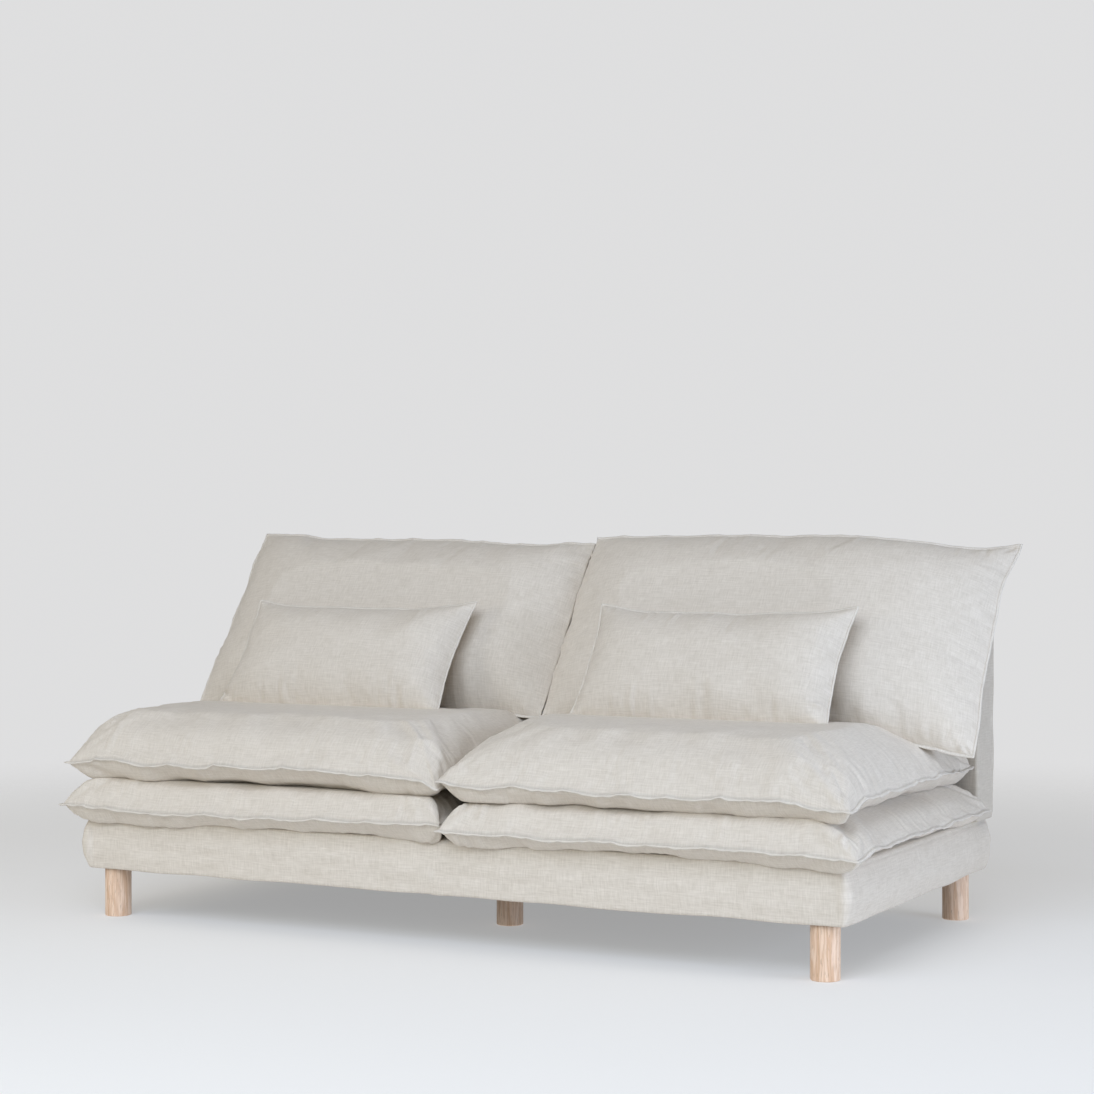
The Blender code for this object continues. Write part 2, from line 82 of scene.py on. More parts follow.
def light_setting(name, description, default):
    """A setting that is an amount of light, for each of red, green and blue."""
    return FloatVectorProperty(name=name, description=description, size=3, default=default)


class ClothSettings(PropertyGroup):
    """How the sewn covers are shaped and filled."""

    grid: length_setting("Grid", "Size of a finished cover's facets", 0.0058)
    coarse_grid: length_setting("Simulated grid", "Size of the facets that the cloth simulation moves", 0.011)
    lip: length_setting("Lip thickness", "Half the thickness of the sewn lip", 0.0011)
    pressure: FloatProperty(
        name="Filling pressure", description="Pressure inside a simulated cover", default=4.0
    )
    frames: IntProperty(name="Frames", description="Steps of the cloth simulation", default=14)
    slack: FloatProperty(
        name="Slack",
        description="How much larger than its filling the cloth is cut",
        default=0.005,
        subtype="FACTOR",
    )
    most_move: length_setting("Most movement", "How far the simulation may move a point", 0.012)
    rake: FloatProperty(
        name="Rake", description="Lean of the back cushions", default=math.radians(35), subtype="ANGLE"
    )


class FinishSettings(PropertyGroup):
    """Colours of the finishes and the size of their patterns."""

    linen_light: colour_setting("Linen, light threads", "Colour of the pale threads", (0.770, 0.704, 0.622))
    linen_dark: colour_setting("Linen, dark threads", "Colour of the darker threads", (0.615, 0.550, 0.468))
    thread_pitch: length_setting("Thread pitch", "Distance between threads", 0.0011)
    wood_light: colour_setting("Leg wood, pale", "Colour of the leg's early wood", (0.84, 0.63, 0.48))
    wood_dark: colour_setting("Leg wood, grain", "Colour of the leg's grain lines", (0.66, 0.43, 0.28))


class StageSettings(PropertyGroup):
    """The studio."""

    camera_place: FloatVectorProperty(
        name="Camera place",
        description="Where the camera stands",
        subtype="TRANSLATION",
        default=(2.464, -4.649, 0.848),
    )
    camera_turn: FloatProperty(
        name="Camera turn",
        description="The camera's heading, from +Y",
        default=math.radians(27.52),
        subtype="ANGLE",
    )
    lens: FloatProperty(
        name="Lens", description="Focal length for a 36 mm sensor", default=75.69, unit="CAMERA"
    )
    backdrop: colour_setting("Backdrop", "Colour of the studio round the sofa", (0.735, 0.735, 0.74))
    floor: colour_setting("Floor", "Colour of the floor", (0.545, 0.54, 0.53))
    front: light_setting("Front lamp", "Power of the low lamp in front", (52, 58, 60))
    front_left: light_setting("Left lamp", "Power of the lamp at the front left", (33, 30, 23))
    high: light_setting("High lamp", "Power of the high lamp in front", (90, 102, 126))
    side: light_setting("Side lamp", "Power of the lamp on the right", (68, 79, 98))
    horizon: light_setting("Horizon", "Light from the walls", (0, 0, 0))
    ceiling: light_setting("Ceiling", "Light from above", (0.43, 0.415, 0.39))
    floor_glow: FloatProperty(name="Floor fill", description="Light in the floor's shadows", default=0.34)


# Shader helpers


def new_group(name, inputs, outputs):
    """An empty shader node group with its named sockets, and its input and output nodes."""
    group = bpy.data.node_groups.new(name, "ShaderNodeTree")
    for label, kind, value in inputs:
        socket = group.interface.new_socket(label, in_out="INPUT", socket_type=kind)
        if value is not None:
            socket.default_value = value
    for label, kind in outputs:
        group.interface.new_socket(label, in_out="OUTPUT", socket_type=kind)
    return group, group.nodes.new("NodeGroupInput"), group.nodes.new("NodeGroupOutput")


def feed(tree, socket, value):
    """Links an output to a socket, or sets the socket to a plain value."""
    if isinstance(value, bpy.types.NodeSocket):
        tree.links.new(value, socket)
    elif value is not None:
        socket.default_value = value


def maths(tree, operation, a, b=None, c=None, clamp=False):
    """A Math node's output for two or three values."""
    node = tree.nodes.new("ShaderNodeMath")
    node.operation = operation
    node.use_clamp = clamp
    for socket, value in zip(node.inputs, (a, b, c)):
        feed(tree, socket, value)
    return node.outputs[0]


def mixed(tree, share, a, b, blend="MIX"):
    """A colour mix."""
    node = tree.nodes.new("ShaderNodeMix")
    node.data_type = "RGBA"
    node.blend_type = blend
    feed(tree, node.inputs[0], share)
    feed(tree, node.inputs[6], a)
    feed(tree, node.inputs[7], b)
    return node.outputs[2]


def paint(tree, shader, share, a, b):
    """Gives a shader a base colour that is a mix of two, each given as red, green and blue."""
    tree.links.new(mixed(tree, share, (*a, 1.0), (*b, 1.0)), shader.inputs["Base Color"])


def spread(tree, value, low, high, to_low=0.0, to_high=1.0):
    """A smooth step of the value from one range to another."""
    node = tree.nodes.new("ShaderNodeMapRange")
    node.interpolation_type = "SMOOTHSTEP"
    for socket, number in zip(node.inputs, (value, low, high, to_low, to_high)):
        feed(tree, socket, number)
    return node.outputs[0]


def stretched_noise(tree, place, scale, detail=2.0, roughness=0.5):
    """Noise whose grains are as long as the scale's three values are small."""
    mapping = tree.nodes.new("ShaderNodeMapping")
    mapping.vector_type = "POINT"
    feed(tree, mapping.inputs["Vector"], place)
    feed(tree, mapping.inputs["Scale"], scale)
    noise = tree.nodes.new("ShaderNodeTexNoise")
    noise.inputs["Scale"].default_value = 1.0
    noise.inputs["Detail"].default_value = detail
    noise.inputs["Roughness"].default_value = roughness
    tree.links.new(mapping.outputs[0], noise.inputs["Vector"])
    return noise.outputs["Fac"]


def weave_group():
    """Plain weave with slubs. Height is the higher of warp and weft where each lies on top, and slubs are
    noise drawn out along each set of threads. Tone is 0 on dark threads and 1 on pale ones."""
    group, given, made = new_group(
        "linen_weave",
        (
            ("Place", "NodeSocketVector", None),
            ("Pitch", "NodeSocketFloat", 0.0011),
            ("Slub", "NodeSocketFloat", 1.0),
        ),
        (("Tone", "NodeSocketFloat"), ("Height", "NodeSocketFloat")),
    )
    split = group.nodes.new("ShaderNodeSeparateXYZ")
    group.links.new(given.outputs["Place"], split.inputs[0])
    turns = maths(group, "DIVIDE", math.pi, given.outputs["Pitch"])
    across = maths(group, "SINE", maths(group, "MULTIPLY", split.outputs[0], turns))
    along = maths(group, "SINE", maths(group, "MULTIPLY", split.outputs[1], turns))
    over = maths(group, "MULTIPLY", across, along)
    weave = maths(group, "ABSOLUTE", over)
    warp = stretched_noise(group, given.outputs["Place"], (330.0, 34.0, 1.0), 2.0, 0.6)
    weft = stretched_noise(group, given.outputs["Place"], (28.0, 310.0, 1.0), 2.0, 0.6)
    thick = stretched_noise(group, given.outputs["Place"], (34.0, 420.0, 1.0), 1.0, 0.4)
    mottle = stretched_noise(group, given.outputs["Place"], (14.0, 17.0, 1.0), 4.0, 0.65)
    slubs = maths(group, "ADD", maths(group, "MULTIPLY", warp, 0.5), maths(group, "MULTIPLY", weft, 0.5))
    slubs = maths(group, "MULTIPLY_ADD", maths(group, "SUBTRACT", slubs, 0.5), 2.6, 0.5)
    knots = spread(group, thick, 0.66, 0.80, 0.0, 0.35)
    tone = maths(group, "MULTIPLY_ADD", maths(group, "SUBTRACT", mottle, 0.5), 0.55, slubs)
    tone = maths(group, "ADD", tone, knots)
    centred = maths(group, "SUBTRACT", tone, 0.5)
    tone = maths(group, "MULTIPLY_ADD", centred, given.outputs["Slub"], 0.5, clamp=True)
    group.links.new(tone, made.inputs["Tone"])
    height = maths(group, "MULTIPLY_ADD", weave, 0.35, maths(group, "MULTIPLY", slubs, 0.65))
    height = maths(group, "ADD", height, knots)
    group.links.new(height, made.inputs["Height"])
    return group


def grain_group():
    """Straight wood grain along Z. Lines are noise drawn out along it, and pores are short dark flecks."""
    group, given, made = new_group(
        "wood_grain",
        (("Place", "NodeSocketVector", None), ("Fineness", "NodeSocketFloat", 1.0)),
        (("Grain", "NodeSocketFloat"), ("Pores", "NodeSocketFloat")),
    )
    scaled = group.nodes.new("ShaderNodeVectorMath")
    scaled.operation = "SCALE"
    group.links.new(given.outputs["Place"], scaled.inputs[0])
    group.links.new(given.outputs["Fineness"], scaled.inputs["Scale"])
    bands = stretched_noise(group, scaled.outputs[0], (60.0, 60.0, 4.5), 3.0, 0.55)
    rings = maths(group, "SINE", maths(group, "MULTIPLY", bands, 34.0))
    fine = stretched_noise(group, scaled.outputs[0], (420.0, 420.0, 12.0), 2.0, 0.5)
    grain = maths(group, "MULTIPLY_ADD", rings, 0.22, maths(group, "MULTIPLY", bands, 0.75))
    grain = maths(group, "MULTIPLY_ADD", fine, 0.25, grain)
    group.links.new(spread(group, grain, 0.25, 0.85), made.inputs["Grain"])
    flecks = stretched_noise(group, scaled.outputs[0], (900.0, 900.0, 60.0), 0.0, 0.0)
    group.links.new(spread(group, flecks, 0.66, 0.74), made.inputs["Pores"])
    return group


def shared_group(name, maker):
    """The node group of that name, built the first time it is asked for."""
    return bpy.data.node_groups.get(name) or maker()


def new_material(name, roughness=0.8, metallic=0.0):
    """A material with its tree and its Principled shader."""
    made = bpy.data.materials.new(name)
    made.use_nodes = True
    shader = made.node_tree.nodes["Principled BSDF"]
    shader.inputs["Roughness"].default_value = roughness
    shader.inputs["Metallic"].default_value = metallic
    return made, made.node_tree, shader


def add_bump(tree, shader, height, strength, distance):
    """Bump from a height into the shader's normal."""
    bump = tree.nodes.new("ShaderNodeBump")
    bump.inputs["Strength"].default_value = strength
    bump.inputs["Distance"].default_value = distance
    tree.links.new(height, bump.inputs["Height"])
    tree.links.new(bump.outputs[0], shader.inputs["Normal"])


def attribute(tree, name):
    """A number stored on the mesh's points."""
    node = tree.nodes.new("ShaderNodeAttribute")
    node.attribute_name = name
    return node.outputs["Fac"]


def linen_material(name, slub=1.0, painted_shade_tint=(1.0, 1.0, 1.0), sewn=False):
    """Natural linen; a tint below white darkens it all over as painted shade. With sewn set, the cover's own
    attributes draw its row of stitches and pale its lip as a painted highlight.
    """
    look = bpy.context.scene.sofa_finish
    made, tree, shader = new_material(name, 0.92)
    shader.inputs["Sheen Weight"].default_value = 0.18
    shader.inputs["Sheen Roughness"].default_value = 0.5
    shader.inputs["Specular IOR Level"].default_value = 0.25
    uv = tree.nodes.new("ShaderNodeUVMap")
    uv.uv_map = "cloth"
    weave = tree.nodes.new("ShaderNodeGroup")
    weave.node_tree = shared_group("linen_weave", weave_group)
    weave.inputs["Pitch"].default_value = look.thread_pitch
    weave.inputs["Slub"].default_value = slub
    tree.links.new(uv.outputs[0], weave.inputs["Place"])
    # A tint below white darkens both thread colours: painted shade.
    pale = tuple(a * b for a, b in zip(look.linen_light, painted_shade_tint))
    dark = tuple(a * b for a, b in zip(look.linen_dark, painted_shade_tint))
    colour = mixed(tree, weave.outputs["Tone"], (*dark, 1.0), (*pale, 1.0))
    height = weave.outputs["Height"]
    if sewn:
        out = attribute(tree, "past_seam")
        run = attribute(tree, "along_seam")
        # Painted highlight: the lip is paled towards cream, for the light that it catches.
        lip = spread(tree, out, 0.0002, 0.0012)
        colour = mixed(tree, maths(tree, "MULTIPLY", lip, 0.3), colour, (0.83, 0.79, 0.72, 1.0))
        from_row = maths(tree, "ABSOLUTE", maths(tree, "SUBTRACT", out, 0.0022))
        row = spread(tree, from_row, 0.0004, 0.0008, 1.0, 0.0)
        beat = maths(tree, "SINE", maths(tree, "MULTIPLY", run, math.tau / 0.0042))
        stitch = maths(tree, "MULTIPLY", row, spread(tree, beat, -0.75, -0.4))
        colour = mixed(tree, maths(tree, "MULTIPLY", stitch, 0.2), colour, (0.9, 0.88, 0.82, 1.0))
        height = maths(tree, "ADD", height, maths(tree, "MULTIPLY", stitch, 0.8))
    tree.links.new(colour, shader.inputs["Base Color"])
    add_bump(tree, shader, height, 0.55, 0.0006)
    return made


def wood_material(name, pale, dark, roughness, fineness=1.0, axis="Z", bump=0.25):
    """Timber whose grain runs along one axis of the object."""
    made, tree, shader = new_material(name, roughness)
    place = tree.nodes.new("ShaderNodeTexCoord").outputs["Object"]
    if axis != "Z":
        turn = tree.nodes.new("ShaderNodeMapping")
        turn.inputs["Rotation"].default_value = (math.pi / 2, 0, 0) if axis == "Y" else (0, math.pi / 2, 0)
        tree.links.new(place, turn.inputs[0])
        place = turn.outputs[0]
    grain = tree.nodes.new("ShaderNodeGroup")
    grain.node_tree = shared_group("wood_grain", grain_group)
    grain.inputs["Fineness"].default_value = fineness
    tree.links.new(place, grain.inputs["Place"])
    colour = mixed(tree, grain.outputs["Grain"], (*pale, 1.0), (*dark, 1.0))
    pores = maths(tree, "MULTIPLY", grain.outputs["Pores"], 0.5)
    colour = mixed(tree, pores, colour, (*(0.55 * c for c in dark), 1.0))
    tree.links.new(colour, shader.inputs["Base Color"])
    wear = maths(tree, "MULTIPLY_ADD", grain.outputs["Grain"], 0.12, roughness)
    tree.links.new(wear, shader.inputs["Roughness"])
    add_bump(tree, shader, maths(tree, "ADD", grain.outputs["Grain"], grain.outputs["Pores"]), bump, 0.0003)
    return made


def plywood_material(name, thin_axis):
    """Plywood: timber on its faces, with its plies' dark and pale layers across its thin axis."""
    made = wood_material(name, (0.66, 0.50, 0.33), (0.50, 0.35, 0.20), 0.65, 0.5, "X")
    tree = made.node_tree
    shader = tree.nodes["Principled BSDF"]
    face = shader.inputs["Base Color"].links[0].from_socket
    split = tree.nodes.new("ShaderNodeSeparateXYZ")
    tree.links.new(tree.nodes.new("ShaderNodeTexCoord").outputs["Object"], split.inputs[0])
    layer = maths(tree, "SINE", maths(tree, "MULTIPLY", split.outputs[thin_axis], math.tau / 0.003))
    plies = spread(tree, layer, -0.2, 0.2, 0.0, 0.3)
    tree.links.new(mixed(tree, plies, face, (0.30, 0.19, 0.10, 1.0)), shader.inputs["Base Color"])
    return made


def foam_material(name, colour, cell):
    """Open foam: small round cells, whose hollows are darkened as painted shade."""
    made, tree, shader = new_material(name, 0.95)
    cells = tree.nodes.new("ShaderNodeTexVoronoi")
    cells.inputs["Scale"].default_value = 1.0 / cell
    tree.links.new(tree.nodes.new("ShaderNodeTexCoord").outputs["Object"], cells.inputs["Vector"])
    depth = spread(tree, cells.outputs["Distance"], 0.1, 0.6)
    # Cell hollows are up to 30 % darker: painted shade.
    paint(tree, shader, depth, [0.7 * c for c in colour], colour)
    add_bump(tree, shader, depth, 0.5, cell / 3)
    return made


def cambric_material(name):
    """Thin black non-woven cloth with its pressed dimples."""
    made, tree, shader = new_material(name, 0.95)
    place = tree.nodes.new("ShaderNodeTexCoord").outputs["Object"]
    fibres = stretched_noise(tree, place, (700.0, 700.0, 700.0), 3.0, 0.6)
    dots = tree.nodes.new("ShaderNodeTexVoronoi")
    dots.inputs["Scale"].default_value = 400.0
    dots.inputs["Randomness"].default_value = 0.0
    tree.links.new(place, dots.inputs["Vector"])
    pressed = spread(tree, dots.outputs["Distance"], 0.15, 0.3)
    paint(tree, shader, fibres, (0.012, 0.012, 0.013), (0.05, 0.05, 0.052))
    add_bump(tree, shader, maths(tree, "ADD", fibres, pressed), 0.6, 0.0004)
    return made


def metal_material(name, colour, roughness):
    """Plain metal with fine scratches and dull patches."""
    made, tree, shader = new_material(name, roughness, 1.0)
    place = tree.nodes.new("ShaderNodeTexCoord").outputs["Object"]
    scratches = stretched_noise(tree, place, (300.0, 2500.0, 2500.0), 2.0, 0.6)
    patches = stretched_noise(tree, place, (120.0, 120.0, 120.0), 2.0, 0.5)
    paint(tree, shader, patches, [0.75 * c for c in colour], colour)
    tree.links.new(maths(tree, "MULTIPLY_ADD", scratches, 0.25, roughness - 0.1), shader.inputs["Roughness"])
    add_bump(tree, shader, scratches, 0.2, 0.0001)
    return made


def zip_material(name):
    """A closed zip: moulded teeth across the chain, with the tape's threads between them."""
    made, tree, shader = new_material(name, 0.45)
    split = tree.nodes.new("ShaderNodeSeparateXYZ")
    tree.links.new(tree.nodes.new("ShaderNodeTexCoord").outputs["Object"], split.inputs[0])
    wave = maths(tree, "SINE", maths(tree, "MULTIPLY", split.outputs[0], math.tau / 0.0028))
    tooth = spread(tree, wave, -0.25, 0.25)
    paint(tree, shader, tooth, (0.30, 0.27, 0.22), (0.62, 0.57, 0.49))
    add_bump(tree, shader, tooth, 0.8, 0.0006)
    return made


# Meshes


def grid_faces(rows, columns, first=0, flip=False):
    """Quads over a grid of points, as an array of four indices each."""
    index = first + np.arange(rows * columns).reshape(rows, columns)
    quads = np.stack([index[:-1, :-1], index[:-1, 1:], index[1:, 1:], index[1:, :-1]], -1).reshape(-1, 4)
    return quads[:, ::-1] if flip else quads


def make_mesh(name, points, quads, uv=None, values=None):
    """A smooth-shaded mesh object at the origin from points and quads, with a UV map and point attributes."""
    mesh = bpy.data.meshes.new(name)
    mesh.vertices.add(len(points))
    mesh.vertices.foreach_set("co", np.asarray(points, np.float32).ravel())
    mesh.loops.add(quads.size)
    mesh.loops.foreach_set("vertex_index", quads.astype(np.int32).ravel())
    mesh.polygons.add(len(quads))
    mesh.polygons.foreach_set("loop_start", np.arange(0, quads.size, 4, dtype=np.int32))
    mesh.update(calc_edges=True)
    if uv is not None:
        layer = mesh.uv_layers.new(name="cloth")
        layer.data.foreach_set("uv", np.asarray(uv, np.float32)[quads.ravel()].ravel())
    for label, numbers in (values or {}).items():
        stored = mesh.attributes.new(label, "FLOAT", "POINT")
        stored.data.foreach_set("value", np.asarray(numbers, np.float32).ravel())
    mesh.shade_smooth()
    mesh.validate()
    made = bpy.data.objects.new(name, mesh)
    bpy.context.scene.collection.objects.link(made)
    return made


def ripple(t, seed, waves, count=5):
    """A sum of cosines of t, with random phases and wavelengths between two ends. Its spread is about 1."""
    draw = np.random.default_rng(seed)
    lengths = np.geomspace(waves[0], waves[1], count) * draw.uniform(0.85, 1.15, count)
    phases = draw.uniform(0, math.tau, count)
    total = sum(np.cos(math.tau * t / length + phase) for length, phase in zip(lengths, phases))
    return total / math.sqrt(count / 2)


def soft_field(x, y, seed, waves, count=9):
    """A sum of plane waves over (x, y), with random headings and phases and wavelengths between two ends."""
    draw = np.random.default_rng(seed)
    lengths = np.geomspace(waves[0], waves[1], count)
    headings = draw.uniform(0, math.pi, count)
    phases = draw.uniform(0, math.tau, count)
    total = 0
    for length, heading, phase in zip(lengths, headings, phases):
        total = total + np.cos(math.tau * (x * math.cos(heading) + y * math.sin(heading)) / length + phase)
    return total / math.sqrt(count / 2)


def arc_uv(points):
    """UV in metres over a grid of points: the length along each row and each column from the middle one."""
    rows, columns = points.shape[:2]
    across = np.linalg.norm(np.diff(points, axis=1), axis=2)
    up = np.linalg.norm(np.diff(points, axis=0), axis=2)
    u = np.concatenate([np.zeros((rows, 1)), np.cumsum(across, 1)], 1)
    v = np.concatenate([np.zeros((1, columns)), np.cumsum(up, 0)], 0)
    u -= u[:, columns // 2 : columns // 2 + 1]
    v -= v[rows // 2 : rows // 2 + 1, :]
    return np.stack([u, v], -1)


# Cushions


class Cushion:
    """One sewn cushion in its seam plane's own axes: x across, y up the seam plane, z out of its front or top.

    A sheet stands off the plane by its swell times a rise for each of the four sides. At a distance d inside
    the seam, arc(d, length) = (1 - (1 - d / length)^power)^(sharpness * ease), and 1 past the length, and
    rise(d) = wall * arc(d, 60 mm) + (1 - wall) * arc(d, length). The wall is the share of the height that
    stands up steeply, where a neighbour presses on that side. A top sheet also has a dome round a point,
    height * exp(-(x / rx)^2 - (y / ry)^2), and a bottom sheet a belly, depth * exp(-((d - place) / width)^2),
    along its low side.

    The seam's line wanders, has a few sharp nicks, is drawn in between the corners, and is crowded towards a
    neighbour. Outside it both sheets run on as a flat lip. Nudges then move the neighbourhoods of chosen
    points, and the line between left and right neighbours is carried across by the split.
    """

    def __init__(self, name, middle, tilt, half_x, half_y, above, below, zip_sign, seed):
        self.name = name
        self.middle = np.array(middle)
        self.turn = np.array(Euler((tilt, 0.0, 0.0)).to_matrix())
        self.half_x, self.half_y = half_x, half_y
        self.above, self.below = above, below
        self.zip_sign = zip_sign
        self.seed = seed
        low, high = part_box(name + "_zip")
        self.half_zip = (high.x - low.x) / 2
        self.firm_past = 0.07
        # Lengths of the rises at the left, right, low and high sides, then power and sharpness.
        self.top_rise = (0.25, 0.25, 0.2, 0.2, 2.3, 0.6)
        self.bottom_rise = (0.25, 0.25, 0.2, 0.2, 2.3, 0.6)
        self.walls = (0.0, 0.0, 0.0, 0.0)
        self.ease = (1.0, 1.0, 1.0, 1.0)
        # The wall's share at the high end, how far each end is pushed towards a neighbour, and the dome's
        # place, radii and height.
        self.wall_high = 0.0
        self.crowd = (0.0, 0.0)
        self.dome = (0.0, 0.0, 1.0, 1.0, 0.0)
        # How far the bottom sheet hangs near the low side (depth, place and width), and how far below its box
        # it may.
        self.belly = (0.0, 0.03, 0.03)
        self.hang = 0.0
        # How far across the line between neighbours moves at the low side, and how soon that dies out upwards.
        self.split, self.split_reach = 0.0, 0.3
        self.press = (0.0, 0.0, 0.0, 0.0)
        self.pull = (0.01, 0.01, 0.01, 0.01)
        self.flange = 0.007
        self.wander = 0.002
        self.nick = 0.003
        self.pucker = 0.0006
        self.folds = 0.0016
        self.lip_tilt = -0.3
        self.lip_wave = 0.12
        self.highest = above + 0.012
        self.nudges = ()
        self.fill = 0.7

    def lines(self, low, high, size, lip_low, lip_high):
        """Places from -low to high, closer together at both ends, with two more lines at each end for the lip,
        and how far outside the seam each line lies."""
        reach = 0.06
        steps = max(6, round(0.094 / size))
        ends = reach * (1 - np.cos(math.pi / 2 * np.arange(steps) / steps))
        count = max(4, round((low + high - 2 * reach) / size))
        middle = np.linspace(-low + reach, high - reach, count + 1)
        place = np.concatenate([-low + ends, middle, (high - ends)[::-1]])
        fold = 0.0007
        out = np.concatenate([[-lip_low, -fold], np.zeros(len(place)), [fold, lip_high]])
        return np.concatenate([[-low, -low], place, [high, high]]), out

    def rise(self, distances, lengths, power, sharpness):
        """The product of the four sides' rises."""
        total = 1.0
        up = np.clip(distances[2] / 0.5, 0, 1)
        for distance, length, wall, ease in zip(distances, lengths, self.walls, self.ease):
            if wall:
                wall = wall + (self.wall_high - wall) * up * up * (3 - 2 * up)
            arcs = [1 - (1 - np.clip(distance / reach, 0, 1)) ** power for reach in (0.06, length)]
            near, far = (arc ** (sharpness * ease) for arc in arcs)
            total = total * (wall * near + (1 - wall) * far)
        return total

    def nicks(self, along, seed):
        """Sharp little peaks in a seam, 50 to 130 mm apart, each of its own height."""
        draw = np.random.default_rng(seed)
        place = -0.7 + np.cumsum(draw.uniform(0.05, 0.13, 22))
        tall = draw.uniform(0.15, 1.3, 22)
        away = np.abs(along[..., None] - place)
        return (tall * np.exp(-away / 0.011)).sum(-1)

    def surface(self, size):
        """Both sheets' points in the cushion's own axes, and their distances outside and along the seam."""
        flange = self.flange
        housing, cover, stub = 0.0024, 0.004, 0.0012
        if self.zip_sign < 0:
            low, high = self.half_y - housing, self.half_y - flange
            lip_low, lip_high = housing + cover, flange
        else:
            low, high = self.half_y - flange, self.half_y - housing
            lip_low, lip_high = flange, stub
        side = self.half_x - flange
        s, out_x = self.lines(side, side, size, flange, flange)
        t, out_y = self.lines(low, high, size, lip_low, lip_high)
        x0, y0 = np.meshgrid(s, t)
        ox, oy = np.meshgrid(out_x, out_y)
        gaps = (x0 + side, side - x0, y0 + low, high - y0)
        u, v = x0 / side, np.where(y0 < 0, y0 / low, y0 / high)
        zip_gap = gaps[3] if self.zip_sign > 0 else gaps[2]
        past_zip = np.clip((self.half_zip + self.firm_past - np.abs(x0)) / 0.05, 0, 1)
        firm = np.exp(-((zip_gap / 0.04) ** 2)) * past_zip
        body = (ox == 0) & (oy == 0)
        past = np.maximum(np.abs(ox), np.abs(oy))
        x, y = x0.copy(), y0.copy()
        if self.zip_sign < 0:
            oy = np.where(oy < -0.001, oy - 0.0075 * firm, oy)
        for k, (gap, amount) in enumerate(zip(gaps, self.pull)):
            along, across = (y0, v) if k < 2 else (x0, u)
            inward = 1 if k in (0, 2) else -1
            bow = amount * (1 - across**2) + 0.4 * self.wander * ripple(along, self.seed + k, (0.15, 0.6))
            move = inward * bow * np.exp(-gap / 0.12)
            # A side that its neighbour presses stands out a little past its own seam.
            move = move - inward * self.press[k] * np.exp(-(((gap - 0.014) / 0.016) ** 2)) * body
            if k < 2:
                move = move - inward * self.crowd[k] * np.exp(-gap / 0.10)
            if k < 2:
                x += move
            else:
                y += move * (1 - firm)
        line = 0.0
        for k, gap in enumerate(gaps):
            along = y0 if k < 2 else x0
            wave = self.wander * ripple(along, self.seed + 4 + k, (0.12, 0.6)) * np.exp(-gap / 0.05)
            line = line + wave + self.nick * self.nicks(along, self.seed + 8 + k) * np.exp(-gap / 0.009)
        line = line * (1 - firm)
        near = np.minimum(np.minimum(gaps[0], gaps[1]), np.minimum(gaps[2], gaps[3]))
        run = np.where(np.minimum(gaps[0], gaps[1]) < np.minimum(gaps[2], gaps[3]), y0, x0)
        bite = (1 - np.exp(-near / 0.005)) * np.exp(-near / 0.03)
        corner = np.hypot(np.minimum(gaps[0], gaps[1]), np.minimum(gaps[2], gaps[3]))
        bite = bite * (1 + 1.8 * np.exp(-((corner / 0.08) ** 2)))
        sheets = []
        for sign, swell, rises in ((1, self.above, self.top_rise), (-1, self.below, self.bottom_rise)):
            seed = self.seed + (20 if sign > 0 else 30)
            full = self.rise(gaps, rises[:4], *rises[4:])
            some = np.clip(0.5 + 0.9 * ripple(run, seed + 5, (0.15, 0.5), 3), 0, 1.5)
            tuck = self.pucker * 2.0 * some * bite * ripple(run + 3 * np.sign(u + v), seed, (0.016, 0.07), 7)
            gentle = self.folds * soft_field(x0, y0, seed + 1, (0.10, 0.5)) * full
            if sign > 0:
                dx, dy, rx, ry, height = self.dome
                gentle = gentle + height * np.exp(-(((x0 - dx) / rx) ** 2) - ((y0 - dy) / ry) ** 2) * full
            else:
                depth, place, width = self.belly
                gentle = gentle + depth * np.exp(-(((gaps[2] - place) / width) ** 2))
            off = np.where(body, np.maximum(swell * full + tuck + gentle, 0), 0)
            lip = np.where(body, 0.0004, bpy.context.scene.sofa_cloth.lip)
            sheets.append(np.stack([x + ox, y + oy, line + sign * (off + lip)], -1))
        self.shape_lip(sheets, x0, y0, ox, oy, past, firm)
        inner = -math.copysign(self.half_x, self.middle[0])
        up = (y0 + self.half_y) / self.split_reach
        across = self.split * np.exp(-(((x0 - inner) / 0.35) ** 2) - up**2)
        for sheet in sheets:
            sheet[..., 0] += across
        for nx, ny, rx, ry, dx, dy, dz in self.nudges:
            weight = np.exp(-(((x0 - nx) / rx) ** 2) - ((y0 - ny) / ry) ** 2) * (1 - firm)
            for sheet in sheets:
                sheet += weight[..., None] * np.array((dx, dy, dz))
        along = np.where(np.abs(ox) > np.abs(oy), y0, x0)
        return sheets, past, along, (s, t)

    def shape_lip(self, sheets, x0, y0, ox, oy, past, firm):
        """Tilts the lip, and waves it more the further it is from the seam. Beside a rear zip the two sheets
        stay apart by the chain, and over a low zip the lip comes down in front of the chain and its slider."""
        lip = bpy.context.scene.sofa_cloth.lip
        along = np.where(np.abs(ox) >= np.abs(oy), y0 + 2 * np.sign(ox), x0 + 5 * np.sign(oy))
        wave = self.lip_tilt + self.lip_wave * ripple(along, self.seed + 50, (0.03, 0.16))
        at_zip = self.zip_sign * oy > 0
        seam_row = (past == 0) & (self.zip_sign * y0 >= np.max(self.zip_sign * y0) - 1e-9)
        apart = 0.0019
        for sheet, sign in zip(sheets, (1, -1)):
            sheet[..., 2] += past * wave * np.where(at_zip, 1 - firm, 1)
            if self.zip_sign > 0:
                edge = at_zip | seam_row
                sheet[..., 2] = np.where(edge, sheet[..., 2] + sign * (apart - lip) * firm, sheet[..., 2])
            else:
                level = 0.0044 * firm
                sheet[..., 2] += np.where(at_zip, level, 0)
                sheet[..., 2] += np.where(seam_row, level if sign > 0 else -apart * firm, 0)

    def placed(self, points):
        """Points of the cushion's own axes in the sofa's."""
        return points @ self.turn.T + self.middle

